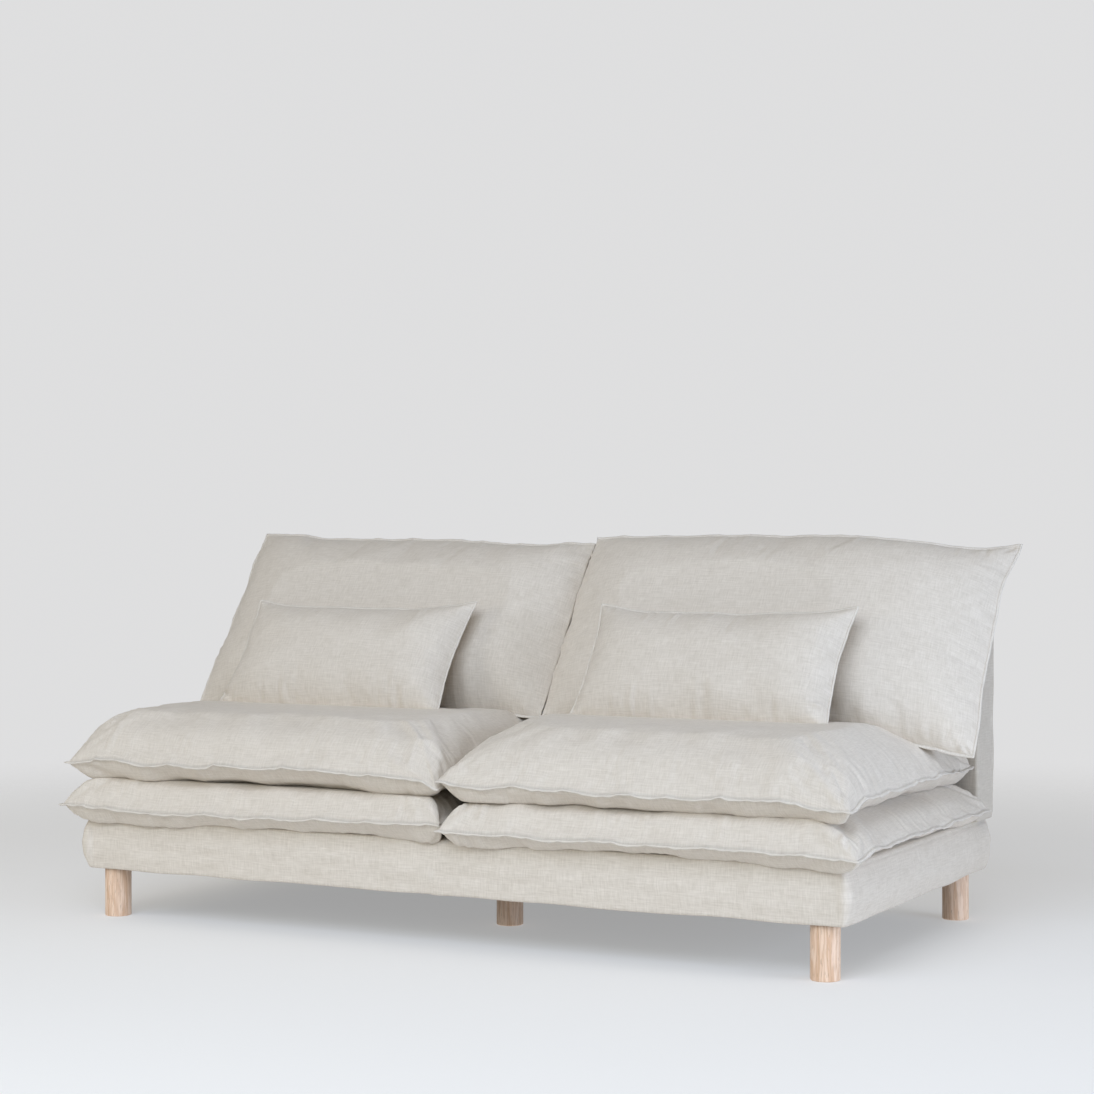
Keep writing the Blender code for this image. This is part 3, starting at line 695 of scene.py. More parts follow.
    def closed_quads(self, rows, columns):
        """Both sheets' quads, and the quads that join their outer edges."""
        count = rows * columns
        index = np.arange(count).reshape(rows, columns)
        ring = np.concatenate([index[0, :-1], index[:-1, -1], index[-1, :0:-1], index[:0:-1, 0]])
        after = np.roll(ring, -1)
        rim = np.stack([ring + count, after + count, after, ring], -1)
        return np.concatenate([grid_faces(rows, columns), grid_faces(rows, columns, count, True), rim])

    def build(self):
        """The finished cover, with the simulation's movement added to its fine surface."""
        cloth = bpy.context.scene.sofa_cloth
        sheets, past, along, lines = self.surface(cloth.grid)
        moved, coarse = self.simulated()
        carry_x = carried(coarse[0], lines[0])
        carry_y = carried(coarse[1], lines[1])
        for sheet, move in zip(sheets, moved):
            sheet += np.einsum("ia,abk,jb->ijk", carry_y, move, carry_x)
        top, bottom = sheets
        top[..., 2] = np.minimum(top[..., 2], self.highest)
        hung = self.hang * np.clip((0.055 - (lines[1][:, None] + self.half_y)) / 0.03, 0, 1)
        bottom[..., 2] = np.maximum(bottom[..., 2], np.where(past > 0, -1.0, -self.below - hung))
        rows, columns = past.shape
        uv = np.concatenate([arc_uv(top).reshape(-1, 2), arc_uv(bottom).reshape(-1, 2) + 3.0])
        uv = uv + 0.37 * self.seed
        points = self.placed(np.concatenate([sheet.reshape(-1, 3) for sheet in sheets]))
        # Left and right neighbours keep to their own side of the sofa's middle.
        own = math.copysign(1, self.middle[0])
        line = self.split * np.exp(-(((points[:, 1] - self.middle[1] + self.half_y) / self.split_reach) ** 2))
        kept = line + own * np.maximum(own * (points[:, 0] - line), 0.0007)
        points[:, 0] = np.where(points[:, 1] > -0.488, kept, points[:, 0])
        rims = {"past_seam": past, "along_seam": along}
        values = {label: np.concatenate([given.ravel()] * 2) for label, given in rims.items()}
        return make_mesh(self.name, points, self.closed_quads(rows, columns), uv, values)

    def simulated(self):
        """Each coarse point's movement under cloth simulation: filled with pressure, its seam and lip held."""
        cloth = bpy.context.scene.sofa_cloth
        sheets, past, _, lines = self.surface(cloth.coarse_grid)
        rows, columns = past.shape
        before = np.concatenate([sheet.reshape(-1, 3) for sheet in sheets])
        edge = past > 0
        edge[2, :] = edge[-3, :] = edge[:, 2] = edge[:, -3] = True
        piece = make_mesh(self.name + "_filling", before, self.closed_quads(rows, columns))
        pins = piece.vertex_groups.new(name="held")
        pins.add(np.flatnonzero(np.concatenate([edge.ravel()] * 2)).tolist(), 1.0, "REPLACE")
        move = run_cloth(piece, pins.name) - before
        length = np.linalg.norm(move, axis=1, keepdims=True)
        move *= np.minimum(1, cloth.most_move / np.maximum(length, 1e-9))
        half = rows * columns
        return [move[:half].reshape(rows, columns, 3), move[half:].reshape(rows, columns, 3)], lines


def carried(coarse, fine):
    """Weights that carry values from the coarse lines to the fine ones, as a cubic through the nearest four.

    The two lip lines at each end of the fine set have no weights, because the lip doesn't move."""
    inner_c, inner_f = coarse[2:-2], fine[2:-2]
    place = np.interp(inner_f, inner_c, np.arange(len(inner_c)))
    base = np.clip(np.floor(place).astype(int), 0, len(inner_c) - 2)
    f = place - base
    weights = np.zeros((len(fine), len(coarse)))
    shares = (
        (-1, -0.5 * f + f**2 - 0.5 * f**3),
        (0, 1 - 2.5 * f**2 + 1.5 * f**3),
        (1, 0.5 * f + 2 * f**2 - 1.5 * f**3),
        (2, -0.5 * f**2 + 0.5 * f**3),
    )
    rows = np.arange(len(inner_f)) + 2
    for step, share in shares:
        np.add.at(weights, (rows, np.clip(base + step, 0, len(inner_c) - 1) + 2), share)
    return weights


def run_cloth(piece, pins):
    """Steps Blender's cloth on the piece, returns its points and removes it."""
    cloth = bpy.context.scene.sofa_cloth
    scene = bpy.context.scene
    modifier = piece.modifiers.new("Cloth", "CLOTH")
    settings = modifier.settings
    settings.quality = 4
    settings.mass = 0.25
    settings.tension_stiffness = 18
    settings.compression_stiffness = 18
    settings.shear_stiffness = 8
    settings.bending_stiffness = 0.4
    settings.tension_damping = 12
    settings.compression_damping = 12
    settings.shear_damping = 12
    settings.air_damping = 4
    settings.use_pressure = True
    settings.uniform_pressure_force = cloth.pressure
    settings.shrink_min = -cloth.slack
    settings.shrink_max = -cloth.slack
    settings.vertex_group_mass = pins
    settings.pin_stiffness = 50
    settings.effector_weights.gravity = 0
    modifier.collision_settings.use_collision = False
    modifier.collision_settings.use_self_collision = False
    modifier.point_cache.frame_start = 1
    modifier.point_cache.frame_end = cloth.frames
    for step in range(1, cloth.frames + 1):
        scene.frame_set(step)
    shown = piece.evaluated_get(bpy.context.evaluated_depsgraph_get()).to_mesh()
    after = np.empty(len(shown.vertices) * 3, np.float32)
    shown.vertices.foreach_get("co", after)
    scene.frame_set(1)
    mesh = piece.data
    bpy.data.objects.remove(piece)
    bpy.data.meshes.remove(mesh)
    return after.reshape(-1, 3).astype(float)


def seam_of(name):
    """The middle of a cushion's zip, which lies in its seam's plane."""
    low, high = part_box(name + "_zip")
    return (low + high) / 2


def flat_cushion(name, seed):
    """A cushion that lies flat, in its CAD solid's place."""
    low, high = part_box(name + "_cover")
    seam = seam_of(name).z
    middle = ((low.x + high.x) / 2, (low.y + high.y) / 2, seam)
    half_x, half_y = (high.x - low.x) / 2, (high.y - low.y) / 2
    return Cushion(name, middle, 0.0, half_x, half_y, high.z - seam, seam - low.z, 1, seed)


def raked_cushion(name, above, below, seed):
    """A cushion that leans back by the rake, standing on its zip."""
    rake = bpy.context.scene.sofa_cloth.rake
    low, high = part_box(name + "_cover")
    seam = seam_of(name)
    rim = 0.005
    height = (high.z - seam.z - rim * math.sin(rake)) / math.cos(rake)
    middle = seam + Vector((0, math.sin(rake), math.cos(rake))) * height / 2
    return Cushion(name, middle, math.pi / 2 - rake, (high.x - low.x) / 2, height / 2, above, below, -1, seed)


def dress(piece, body, material, slot, *nodes):
    """Gives a piece its finish and its body, and hides the CAD nodes that it stands for."""
    piece.data.materials.clear()
    piece.data.materials.append(material)
    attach(piece, body)
    if nodes:
        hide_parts(*nodes)
    return piece


def ends_of(sign, outer, inner):
    """A cushion's values for its left and right ends, in the sofa's left half (sign -1) or right half."""
    return (outer, inner) if sign < 0 else (inner, outer)


def sewn_linen():
    """The cushions' linen."""
    return bpy.data.materials.get("cushion_linen") or linen_material("cushion_linen", sewn=True)


class SOFA_OT_flat_cushions(Operator):
    """Lower pads and seat cushions"""

    bl_idname = "sofa.flat_cushions"
    bl_label = "Flat cushions"

    def execute(self, context):
        for side, sign in SIDES:
            for cushion in (self.pad(side, sign), self.seat(side, sign)):
                piece = cushion.build()
                name = cushion.name
                dress(piece, name, sewn_linen(), "linen", name + "_cover", name + "_insert")
        return {"FINISHED"}

    def pad(self, side, sign):
        """A thin firm pad with upright edges, squeezed flat between the base and the seat cushion."""
        pad = flat_cushion("lower_pad_" + side, 131 if sign < 0 else 247)
        inner, outer = 0.045, 0.085
        ends = ends_of(sign, outer, inner)
        pad.split = 0.038
        pad.top_rise = (*ends, 0.030, 0.04, 2.0, 0.5)
        pad.bottom_rise = (*(0.6 * end for end in ends), 0.042, 0.04, 2.0, 0.75)
        pad.belly = (0.010 if sign < 0 else 0.004, 0.032, 0.022)
        pad.hang = 0.03
        pad.pull = (0.018, 0.0, 0.006, 0.0) if sign < 0 else (0.0, 0.006, 0.006, 0.0)
        pad.crowd = ends_of(sign, 0.0, 0.006)
        pad.folds = 0.0008
        pad.highest = pad.above
        pad.nick = 0.003
        x, y = pad.half_x, pad.half_y
        front = 0.003 if sign < 0 else -0.005
        pad.nudges = (
            (0.0, -y, 9.0, 0.10, 0.0, 0.0, front),
            (sign * x, -y, 0.08, 0.07, 0.012 if sign < 0 else 0.0, 0.0, 0.0 if sign < 0 else -0.008),
            (-sign * x, -y, 0.05, 0.05, 0.004, -0.010 * sign, 0.002),
            # The left pad's front droops over the edge of the base.
            (-0.2, -y, 0.32, 0.055, 0.0, 0.0, -0.011 if sign < 0 else -0.002),
        )
        return pad

    def seat(self, side, sign):
        """A seat cushion with a domed top, which falls away at its outer end and stays high at the other."""
        seat = flat_cushion("seat_cushion_" + side, 311 if sign < 0 else 423)
        inner, outer = 0.18, 0.09 if sign < 0 else 0.16
        ends = ends_of(sign, outer, inner)
        seat.split = 0.038
        seat.top_rise = (*ends, 0.10, 0.09, 2.3, 0.5)
        seat.bottom_rise = (0.05, 0.04, 0.044, 0.05, 2.0, 0.78)
        seat.belly = (0.005, 0.05, 0.05)
        seat.hang = 0.008
        seat.dome = (0.0, -0.12, 0.65, 0.23, 0.022)
        seat.walls = (*ends_of(sign, 0.0, 0.72), 0.0, 0.0)
        seat.wall_high = 0.97
        seat.crowd = ends_of(sign, 0.0, 0.006)
        seat.ease = (*ends_of(sign, 1.0, 1.2), 1.0, 1.0)
        seat.press = (*ends_of(sign, 0.0, 0.004), 0.0, 0.0)
        seat.pull = (0.018, 0.0, 0.008, 0.0) if sign < 0 else (0.0, 0.010, 0.008, 0.0)
        seat.highest = seat.above + 0.026
        seat.wander = 0.0025
        seat.nick = 0.0045
        x, y = seat.half_x, seat.half_y
        front = 0.0065 if sign < 0 else -0.0080
        seat.nudges = (
            (0.0, -y, 9.0, 0.12, 0.0, 0.0, front),
            (sign * x, -y, 0.075, 0.06, 0.009 if sign < 0 else 0.0, 0.0, -0.013 if sign < 0 else -0.006),
            (-sign * x, -y, 0.035, 0.06, 0.0, 0.0, -0.026 if sign < 0 else 0.009),
            (sign * x, y, 0.12, 0.14, -sign * 0.035, 0.0, -0.006),
            (-0.2, -y, 0.25, 0.10, 0.0, 0.0, -0.003 if sign < 0 else 0.0),
        )
        return seat


class SOFA_OT_raked_cushions(Operator):
    """Back cushions and lumbar cushions"""

    bl_idname = "sofa.raked_cushions"
    bl_label = "Raked cushions"

    def execute(self, context):
        for side, sign in SIDES:
            for cushion in (self.back(side, sign), self.lumbar(side, sign)):
                piece = cushion.build()
                name = cushion.name
                dress(piece, name, sewn_linen(), "linen", name + "_cover", name + "_insert")
        return {"FINISHED"}

    def back(self, side, sign):
        """A back cushion, plump right up to its neighbour, with slack corners and hanging lower ends."""
        back = raked_cushion("back_cushion_" + side, 0.085, 0.112, 511 if sign < 0 else 623)
        inner, outer = 0.20, 0.22
        ends = ends_of(sign, outer, inner)
        back.top_rise = (*ends, 0.14, 0.20, 2.2, 0.62)
        back.bottom_rise = (*(1.3 * end for end in ends), 0.2, 0.2, 2.0, 0.75)
        back.ease = (*ends_of(sign, 1.0, 1.3), 1.0, 1.0)
        back.press = (*ends_of(sign, 0.0, 0.004), 0.0, 0.0)
        back.crowd = ends_of(sign, 0.0, 0.013)
        back.flange = 0.0055
        back.lip_tilt = 0.0
        back.highest = back.above + 0.006
        x, y = back.half_x, back.half_y
        if sign < 0:
            back.pull = (0.004, 0.0, 0.0, 0.004)
            back.nudges = (
                (-x, y, 0.20, 0.15, 0.004, 0.012, 0.0),
                (x, 0.0, 0.12, 9.0, 0.0, 0.0, 0.010),
                (x, y, 0.30, 0.15, 0.0, -0.024, 0.0),
                (x, -y, 0.14, 0.10, 0.0, -0.018, 0.0),
            )
        else:
            back.pull = (0.0, 0.004, 0.0, -0.006)
            back.nudges = (
                (-x, 0.0, 0.12, 9.0, 0.0, 0.0, 0.010),
                (-x, y, 0.12, 0.10, 0.0, -0.008, 0.0),
                (x, 0.0, 0.20, 9.0, 0.026, 0.0, -0.060),
                (x, y, 0.05, 0.05, 0.014, 0.034, -0.010),
                (x, -y, 0.16, 0.10, 0.006, -0.030, 0.0),
                (-x, -y, 0.12, 0.08, 0.0, -0.014, 0.0),
            )
        return back

    def lumbar(self, side, sign):
        """A lumbar cushion, well filled, with pointed corners."""
        lumbar = raked_cushion("lumbar_cushion_" + side, 0.056, 0.047, 711 if sign < 0 else 827)
        lumbar.middle[0] -= 0.024
        lumbar.firm_past = 0.10
        lumbar.top_rise = (0.15, 0.13, 0.09, 0.12, 2.2, 0.58)
        lumbar.bottom_rise = (0.2, 0.2, 0.14, 0.14, 2.0, 0.7)
        lumbar.pull = (0.012, 0.012, 0.0, 0.008)
        lumbar.flange = 0.0045
        lumbar.lip_tilt = 0.0
        lumbar.pucker = 0.0007
        lumbar.wander = 0.0018
        lumbar.nick = 0.0015
        x, y = lumbar.half_x, lumbar.half_y
        lumbar.nudges = (
            (-x, y, 0.06, 0.05, -0.002, 0.014, 0.0),
            (x, y, 0.06, 0.05, 0.004, 0.014, 0.0),
            (-x, -y, 0.07, 0.06, 0.0, 0.008, 0.0),
            (x, -y, 0.07, 0.06, 0.0, 0.0, 0.0),
        )
        return lumbar


# Covers of the base and the back


def loop_outline(half_x, low_y, high_y, radius, spacing):
    """Points of a rounded rectangle, anticlockwise from the middle of its front, with each point's outward
    normal and its length along the outline."""
    corners = ((half_x, low_y, -0.5), (half_x, high_y, 0.0), (-half_x, high_y, 0.5), (-half_x, low_y, 1.0))
    points = [np.array([[0.0, low_y]])]
    for x, y, start in corners:
        cx, cy = x - math.copysign(radius, x), (y + radius) if y == low_y else (y - radius)
        angles = np.linspace(start, start + 0.5, 9) * math.pi
        arc = np.stack([cx + radius * np.cos(angles), cy + radius * np.sin(angles)], -1)
        reach = np.linalg.norm(arc[0] - points[-1][-1])
        steps = np.linspace(0, 1, max(2, round(reach / spacing)) + 1)[1:-1, None]
        points.append(points[-1][-1] * (1 - steps) + arc[0] * steps)
        points.append(arc)
    reach = np.linalg.norm(points[0][0] - points[-1][-1])
    steps = np.linspace(0, 1, max(2, round(reach / spacing)) + 1)[1:-1, None]
    points.append(points[-1][-1] * (1 - steps) + points[0][0] * steps)
    outline = np.concatenate(points)
    edge = np.roll(outline, -1, 0) - np.roll(outline, 1, 0)
    edge /= np.linalg.norm(edge, axis=1, keepdims=True)
    normal = np.stack([edge[:, 1], -edge[:, 0]], -1)
    length = np.concatenate([[0], np.cumsum(np.linalg.norm(np.diff(outline, axis=0), axis=1))])
    return outline, normal, length


def swept_cover(outline, normal, length, profile, out, level_wave=0.0, seed=0):
    """A cover carried round an outline. Each profile step is (outward offset, height), and out adds a bulge.

    The grid runs round the outline and up the profile. It closes on itself round the outline."""
    offsets = profile[:, :1] + out
    place = outline[None] + offsets[..., None] * normal[None]
    height = np.broadcast_to(profile[:, 1:], offsets.shape).copy()
    height += level_wave
    points = np.concatenate([place, height[..., None]], -1)
    rows, columns = offsets.shape
    closed = np.concatenate([points, points[:, :1]], 1)
    quads = grid_faces(rows, columns + 1)
    climb = np.concatenate([[0], np.cumsum(np.linalg.norm(np.diff(profile, axis=0), axis=1))])
    run = np.concatenate([length, [length[-1] + np.linalg.norm(outline[0] - outline[-1])]])
    uv = np.stack(np.broadcast_arrays(run[None], climb[:, None]), -1).reshape(-1, 2) + seed
    return closed.reshape(-1, 3), quads, uv


def welts(outline, t, tall):
    """Narrow upright ridges where the panels of a cover are sewn together, at the outline's corners: out by
    tall * exp(-(distance / 3 mm)^2), dying out at the hem and at the top edge."""
    high, low = outline.max(0), outline.min(0)
    corners = [(x, y) for x in (low[0], high[0]) for y in (low[1], high[1])]
    away = [np.hypot(outline[:, 0] - x, outline[:, 1] - y) for x, y in corners]
    near = np.min(away, 0) - np.min(away)
    ridge = tall * np.exp(-((near / 0.003) ** 2))
    return ridge[None] * (smooth_step(t, 0.02) * smooth_step(1 - t, 0.06))[:, None]


def smooth_step(t, reach):
    """A smooth step from 0 to 1 over the reach."""
    step = np.clip(t / reach, 0, 1)
    return step * step * (3 - 2 * step)


def round_over(radius, tall):
    """Profile steps over a top edge: a quarter circle, from just past the wall until it lies level."""
    angles = np.linspace(0.15, math.pi / 2, 9)
    return [(-radius * (1 - math.cos(a)), tall - radius + radius * math.sin(a)) for a in angles]


class SOFA_OT_covers(Operator):
    """The loose covers of the base and of the back panel"""

    bl_idname = "sofa.covers"
    bl_label = "Loose covers"

    def execute(self, context):
        self.base(linen_material("cover_linen", slub=1.1))
        # The back panel's linen is tinted darker: painted shade on the strip of its side that shows beside the
        # back cushions.
        self.back(linen_material("panel_linen_painted_shade", slub=1.1, painted_shade_tint=(0.87, 0.87, 0.86)))
        return {"FINISHED"}

    def base(self, cloth):
        """The base's cover: a soft hem, sides that swell a little between hem and top, and a flat deck."""
        low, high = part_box("base_cover")
        round_edge = 0.010
        outline, normal, length = loop_outline(high.x + 0.003, low.y - 0.001, high.y, 0.014, 0.008)
        tall = high.z - low.z
        hem = [(-0.006, 0.018), (-0.006, 0.006), (-0.0045, 0.0015), (-0.002, 0.0)]
        wall = [(0.0, 0.0015 + (tall - round_edge - 0.0015) * t) for t in np.linspace(0, 1, 20)]
        profile = np.array(hem + wall + round_over(round_edge, tall))
        profile[:, 1] += low.z
        t = np.clip((profile[:, 1] - low.z) / tall, 0, 1)
        belly = np.sin(math.pi * np.clip(t * 1.05, 0, 1)) * np.where(profile[:, 0] > -0.0001, 1, 0)
        ends = np.abs(normal[:, 0])
        bulge = belly[:, None] * (0.003 + 0.010 * ends[None] + 0.007 * np.clip(-normal[None, :, 0], 0, 1))
        along, up = np.broadcast_arrays(length[None], 6 * t[:, None] * tall)
        waves = soft_field(along, up, 5, (0.12, 0.7))
        bulge = bulge + 0.0012 * waves * np.clip(np.sin(math.pi * t), 0, 1)[:, None]
        bulge = bulge + welts(outline, t, 0.0022)
        sag = (0.0009 * ripple(length, 6, (0.2, 0.8)) - 0.0016) * (1 - t[:, None]) ** 3
        points, quads, uv = swept_cover(outline, normal, length, profile, bulge, sag, 1.7)
        piece = make_mesh("base_slipcover", *close_top(points, quads, uv, len(outline) + 1))
        merge_doubles(piece)
        dress(piece, "base", cloth, "linen", "base_cover")

    def back(self, cloth):
        """The back panel's cover: an upright slab with round edges, open below."""
        low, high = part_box("back_cover")
        round_edge = 0.012
        outline, normal, length = loop_outline(high.x, low.y, high.y, 0.014, 0.010)
        tall = high.z - low.z
        hem = [(-0.005, 0.018), (-0.005, 0.005), (-0.002, 0.0)]
        wall = [(0.0, 0.0015 + (tall - round_edge - 0.0015) * t) for t in np.linspace(0, 1, 46)]
        profile = np.array(hem + wall + round_over(round_edge, tall))
        profile[:, 1] += low.z
        t = np.clip((profile[:, 1] - low.z) / tall, 0, 1)
        inside = np.where(profile[:, 0] > -0.0001, 1.0, 0.0)
        rear = np.clip(normal[:, 1], 0, 1)
        bulge = inside[:, None] * np.sin(math.pi * t)[:, None] * (0.001 + 0.004 * rear[None])
        along, up = np.broadcast_arrays(length[None], t[:, None] * tall)
        waves = soft_field(along, up, 8, (0.12, 0.6))
        bulge = bulge + 0.0012 * waves * inside[:, None] * np.clip(np.sin(math.pi * t), 0, 1)[:, None]
        bulge = bulge + welts(outline, t, 0.003)
        points, quads, uv = swept_cover(outline, normal, length, profile, bulge, 0.0, 4.3)
        piece = make_mesh("back_slipcover", *close_top(points, quads, uv, len(outline) + 1))
        merge_doubles(piece)
        dress(piece, "base", cloth, "linen", "back_cover")


def close_top(points, quads, uv, columns):
    """Closes the top ring with a flat lid: the ring shrunk towards its middle in even steps, to one point.

    The lid has points of its own, which are welded to the ring later, because its cloth lies straight: its UV is
    X and Y in metres."""
    ring = points[-columns:]
    hub = (ring.max(0) + ring.min(0)) / 2
    steps = 6
    lid = hub + (ring - hub)[None] * np.linspace(1, 0, steps)[:, None, None]
    faces = grid_faces(steps, columns) + len(points)
    lid = lid.reshape(-1, 3)
    return np.concatenate([points, lid]), np.concatenate([quads, faces]), np.concatenate([uv, lid[:, :2]])


# Legs, zips and the frame


class SOFA_OT_legs(Operator):
    """Round wooden legs with softened ends"""

    bl_idname = "sofa.legs"
    bl_label = "Legs"

    def execute(self, context):
        look = context.scene.sofa_finish
        for number, place in enumerate(LEG_PLACES):
            name = "leg_" + place
            low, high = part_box(name)
            radius = (high.x - low.x) / 2
            middle = (low + high) / 2
            edge = 0.0028
            angles = np.linspace(0, math.pi / 2, 6)
            foot = [(radius - edge + edge * math.sin(a), edge - edge * math.cos(a)) for a in angles]
            shaft = [(radius, z) for z in np.linspace(edge, high.z - 0.001, 14)[1:]]
            sole = [(0.0, 0.0), (radius * 0.5, 0.0)]
            profile = np.array(sole + foot + shaft + [(radius - 0.001, high.z), (0.0, high.z)])
            turn = np.linspace(0, math.tau, 73)
            ring = np.stack([np.cos(turn), np.sin(turn)], -1)
            height = np.broadcast_to(profile[:, None, 1:], (len(profile), 73, 1))
            points = np.concatenate([profile[:, None, :1] * ring[None], height], -1)
            points[..., 0] += middle.x
            points[..., 1] += middle.y
            piece = make_mesh("dowel_" + place, points.reshape(-1, 3), grid_faces(len(profile), 73))
            merge_doubles(piece)
            finish = wood_material("ash_" + place, look.wood_light, look.wood_dark, 0.42, 1.0)
            shift_grain(finish, (number * 0.37, number * 0.81, number * 0.23))
            dress(piece, "base", finish, "leg_wood", name)
        return {"FINISHED"}


def merge_doubles(piece):
    """Welds points that coincide, as at a pole or where a surface meets itself."""
    bm = bmesh.new()
    bm.from_mesh(piece.data)
    bmesh.ops.remove_doubles(bm, verts=bm.verts, dist=1e-6)
    bmesh.ops.dissolve_degenerate(bm, dist=1e-7, edges=bm.edges)
    bmesh.ops.recalc_face_normals(bm, faces=bm.faces)
    bm.to_mesh(piece.data)
    bm.free()


def shift_grain(material, shift):
    """Moves a wood's pattern, so that each leg is cut from its own length of timber."""
    tree = material.node_tree
    group = next(n for n in tree.nodes if n.type == "GROUP")
    link = group.inputs["Place"].links[0]
    move = tree.nodes.new("ShaderNodeMapping")
    move.inputs["Location"].default_value = shift
    tree.links.new(link.from_socket, move.inputs[0])
    tree.links.new(move.outputs[0], group.inputs["Place"])


class SOFA_OT_fittings(Operator):
    """Finishes of the zips and of the frame's own pieces, which keep their shapes"""

    bl_idname = "sofa.fittings"
    bl_label = "Zips and frame"

    def execute(self, context):
        timber = ((0.62, 0.45, 0.28), (0.45, 0.29, 0.16), 0.7)
        by_slot = {
            "frame_timber": wood_material("pine", *timber, 0.6, "X"),
            "plywood": plywood_material("plywood", 2),
            "foam": foam_material("foam", (0.80, 0.75, 0.58), 0.0022),
            "dust_cloth": cambric_material("cambric"),
            "zip_tape": zip_material("zip_chain"),
            "zip_metal": metal_material("aged_brass", (0.55, 0.43, 0.24), 0.4),
            "steel": metal_material("zinc_steel", (0.62, 0.62, 0.63), 0.38),
        }
        slots = {row["node"]: row["material_slot"] for row in frame["record"]["subparts"]}
        for node, item in frame["nodes"].items():
            finish = by_slot.get(slots[node])
            if finish is None or item.hide_render:
                continue
            item.data.materials.clear()
            item.data.materials.append(finish)
        return {"FINISHED"}


# Stage


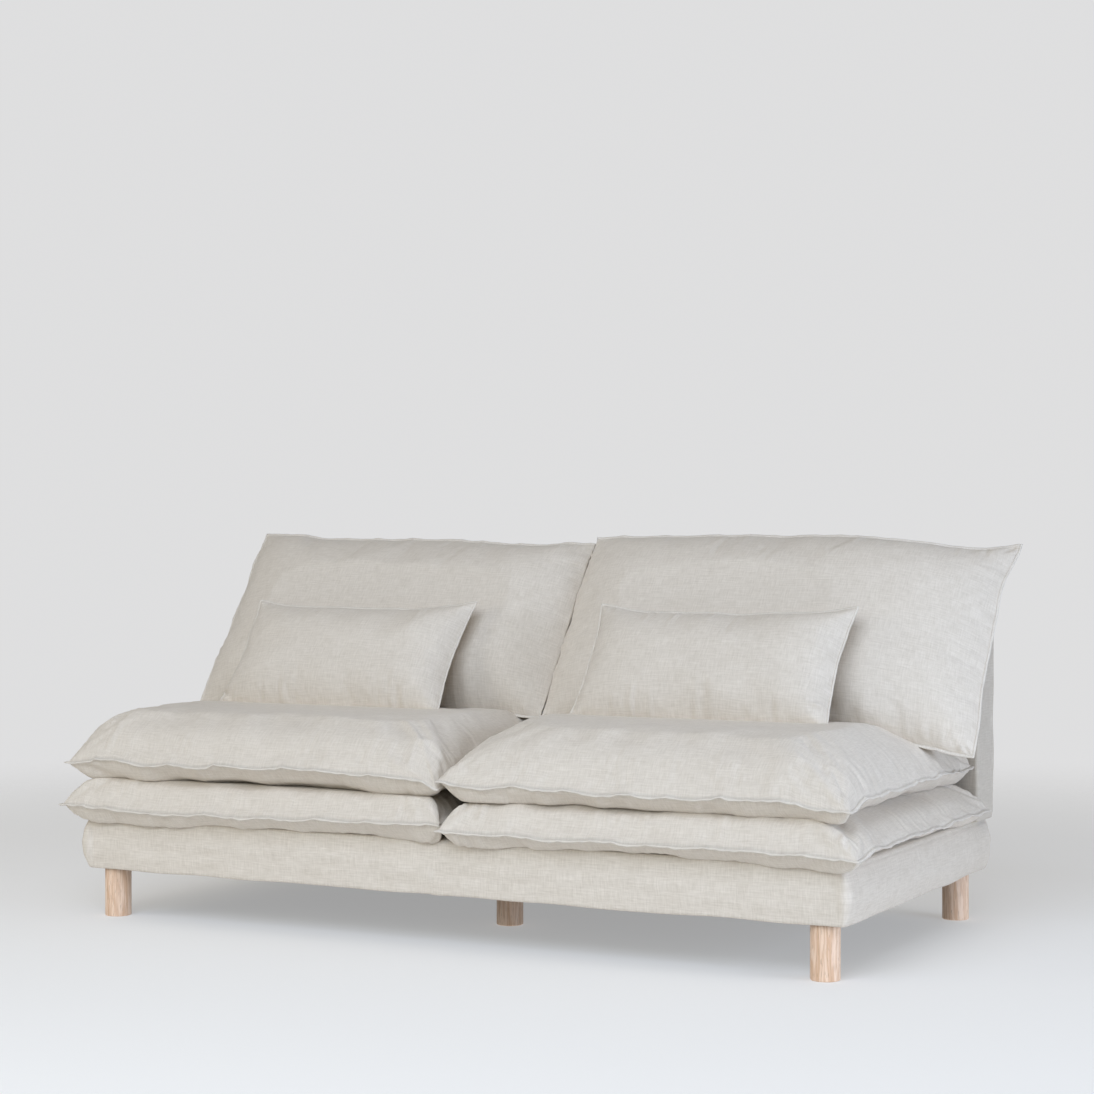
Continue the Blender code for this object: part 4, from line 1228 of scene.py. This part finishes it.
class SOFA_OT_stage(Operator):
    """Floor, lights and camera"""

    bl_idname = "sofa.stage"
    bl_label = "Studio stage"

    def execute(self, context):
        look = context.scene.sofa_stage
        self.floor(look)
        self.world(look)
        self.lamp("front", (1.0, -4.8, 2.0), (0.0, 0.0, 0.35), (3.4, 2.4), look.front)
        self.lamp("front_left", (-3.6, -3.4, 1.6), (0.0, 0.0, 0.35), (2.4, 2.0), look.front_left)
        self.lamp("high", (0.8, -4.0, 3.6), (0.0, 0.0, 0.35), (4.2, 2.6), look.high)
        self.lamp("side", (4.6, -0.7, 0.8), (0.9, 0.0, 0.3), (2.2, 1.6), look.side)
        lens = bpy.data.cameras.new("camera")
        lens.lens = look.lens
        lens.sensor_width = 36.0
        camera = bpy.data.objects.new("camera", lens)
        camera.location = look.camera_place
        camera.rotation_euler = (math.pi / 2, 0.0, look.camera_turn)
        context.scene.collection.objects.link(camera)
        context.scene.camera = camera
        context.scene.view_settings.view_transform = "Standard"
        return {"FINISHED"}

    def floor(self, look):
        """A disc that fades out round its edge, so that the floor runs into the backdrop."""
        turn = np.linspace(0, math.tau, 97)
        radii = np.linspace(0.001, 9.0, 12)
        across, deep = radii[:, None] * np.cos(turn), radii[:, None] * np.sin(turn)
        points = np.stack([across, deep, np.zeros_like(across)], -1)
        disc = make_mesh("floor", points.reshape(-1, 3), grid_faces(12, 97))
        made = bpy.data.materials.new("floor")
        made.use_nodes = True
        tree = made.node_tree
        shader = tree.nodes["Principled BSDF"]
        shader.inputs["Base Color"].default_value = (*look.floor, 1.0)
        shader.inputs["Roughness"].default_value = 1.0
        shader.inputs["Specular IOR Level"].default_value = 0.0
        shader.inputs["Emission Color"].default_value = (1.0, 1.0, 1.0, 1.0)
        shader.inputs["Emission Strength"].default_value = look.floor_glow
        centre = tree.nodes.new("ShaderNodeVectorMath")
        centre.operation = "LENGTH"
        tree.links.new(tree.nodes.new("ShaderNodeTexCoord").outputs["Object"], centre.inputs[0])
        tree.links.new(spread(tree, centre.outputs["Value"], 1.7, 4.5, 1.0, 0.0), shader.inputs["Alpha"])
        disc.data.materials.append(made)

    def world(self, look):
        """An even pale backdrop for the camera, and a dark horizon under a paler ceiling for all else."""
        world = bpy.context.scene.world or bpy.data.worlds.new("studio")
        bpy.context.scene.world = world
        world.use_nodes = True
        tree = world.node_tree
        back = tree.nodes["Background"]
        split = tree.nodes.new("ShaderNodeSeparateXYZ")
        tree.links.new(tree.nodes.new("ShaderNodeTexCoord").outputs["Generated"], split.inputs[0])
        height = spread(tree, split.outputs["Z"], 0.0, 0.9, 0.0, 1.0)
        around = mixed(tree, height, (*look.horizon, 1.0), (*look.ceiling, 1.0))
        seen = tree.nodes.new("ShaderNodeLightPath").outputs["Is Camera Ray"]
        feed(tree, back.inputs["Color"], mixed(tree, seen, around, (*look.backdrop, 1.0)))
        back.inputs["Strength"].default_value = 1.0

    def lamp(self, name, place, aim, size, power):
        """A soft rectangular lamp turned towards a point, with a power for each of red, green and blue."""
        light = bpy.data.lights.new(name, "AREA")
        light.shape = "RECTANGLE"
        light.size, light.size_y = size
        light.energy = max(power)
        light.color = [share / max(max(power), 0.001) for share in power]
        lamp = bpy.data.objects.new(name, light)
        lamp.location = place
        lamp.rotation_euler = (Vector(aim) - Vector(place)).to_track_quat("-Z", "Y").to_euler()
        bpy.context.scene.collection.objects.link(lamp)


class SOFA_PT_panel(Panel):
    """Lists the sofa's pieces in the sidebar"""

    bl_idname = "SOFA_PT_panel"
    bl_label = "Linen Sofa"
    bl_space_type = "VIEW_3D"
    bl_region_type = "UI"
    bl_category = "Sofa"

    def draw(self, context):
        for operator in OPERATORS:
            self.layout.operator(operator.bl_idname)
        for settings in (context.scene.sofa_cloth, context.scene.sofa_finish, context.scene.sofa_stage):
            box = self.layout.box()
            for name in settings.__annotations__:
                box.prop(settings, name)


OPERATORS = (
    SOFA_OT_flat_cushions,
    SOFA_OT_raked_cushions,
    SOFA_OT_covers,
    SOFA_OT_legs,
    SOFA_OT_fittings,
    SOFA_OT_stage,
)
CLASSES = (ClothSettings, FinishSettings, StageSettings, *OPERATORS, SOFA_PT_panel)


def register():
    for item in CLASSES:
        bpy.utils.register_class(item)
    bpy.types.Scene.sofa_cloth = PointerProperty(type=ClothSettings)
    bpy.types.Scene.sofa_finish = PointerProperty(type=FinishSettings)
    bpy.types.Scene.sofa_stage = PointerProperty(type=StageSettings)


def unregister():
    del bpy.types.Scene.sofa_stage
    del bpy.types.Scene.sofa_finish
    del bpy.types.Scene.sofa_cloth
    for item in reversed(CLASSES):
        bpy.utils.unregister_class(item)


def main():
    register()
    for operator in OPERATORS:
        area, verb = operator.bl_idname.split(".")
        getattr(getattr(bpy.ops, area), verb)()


if __name__ == "__main__":
    main()
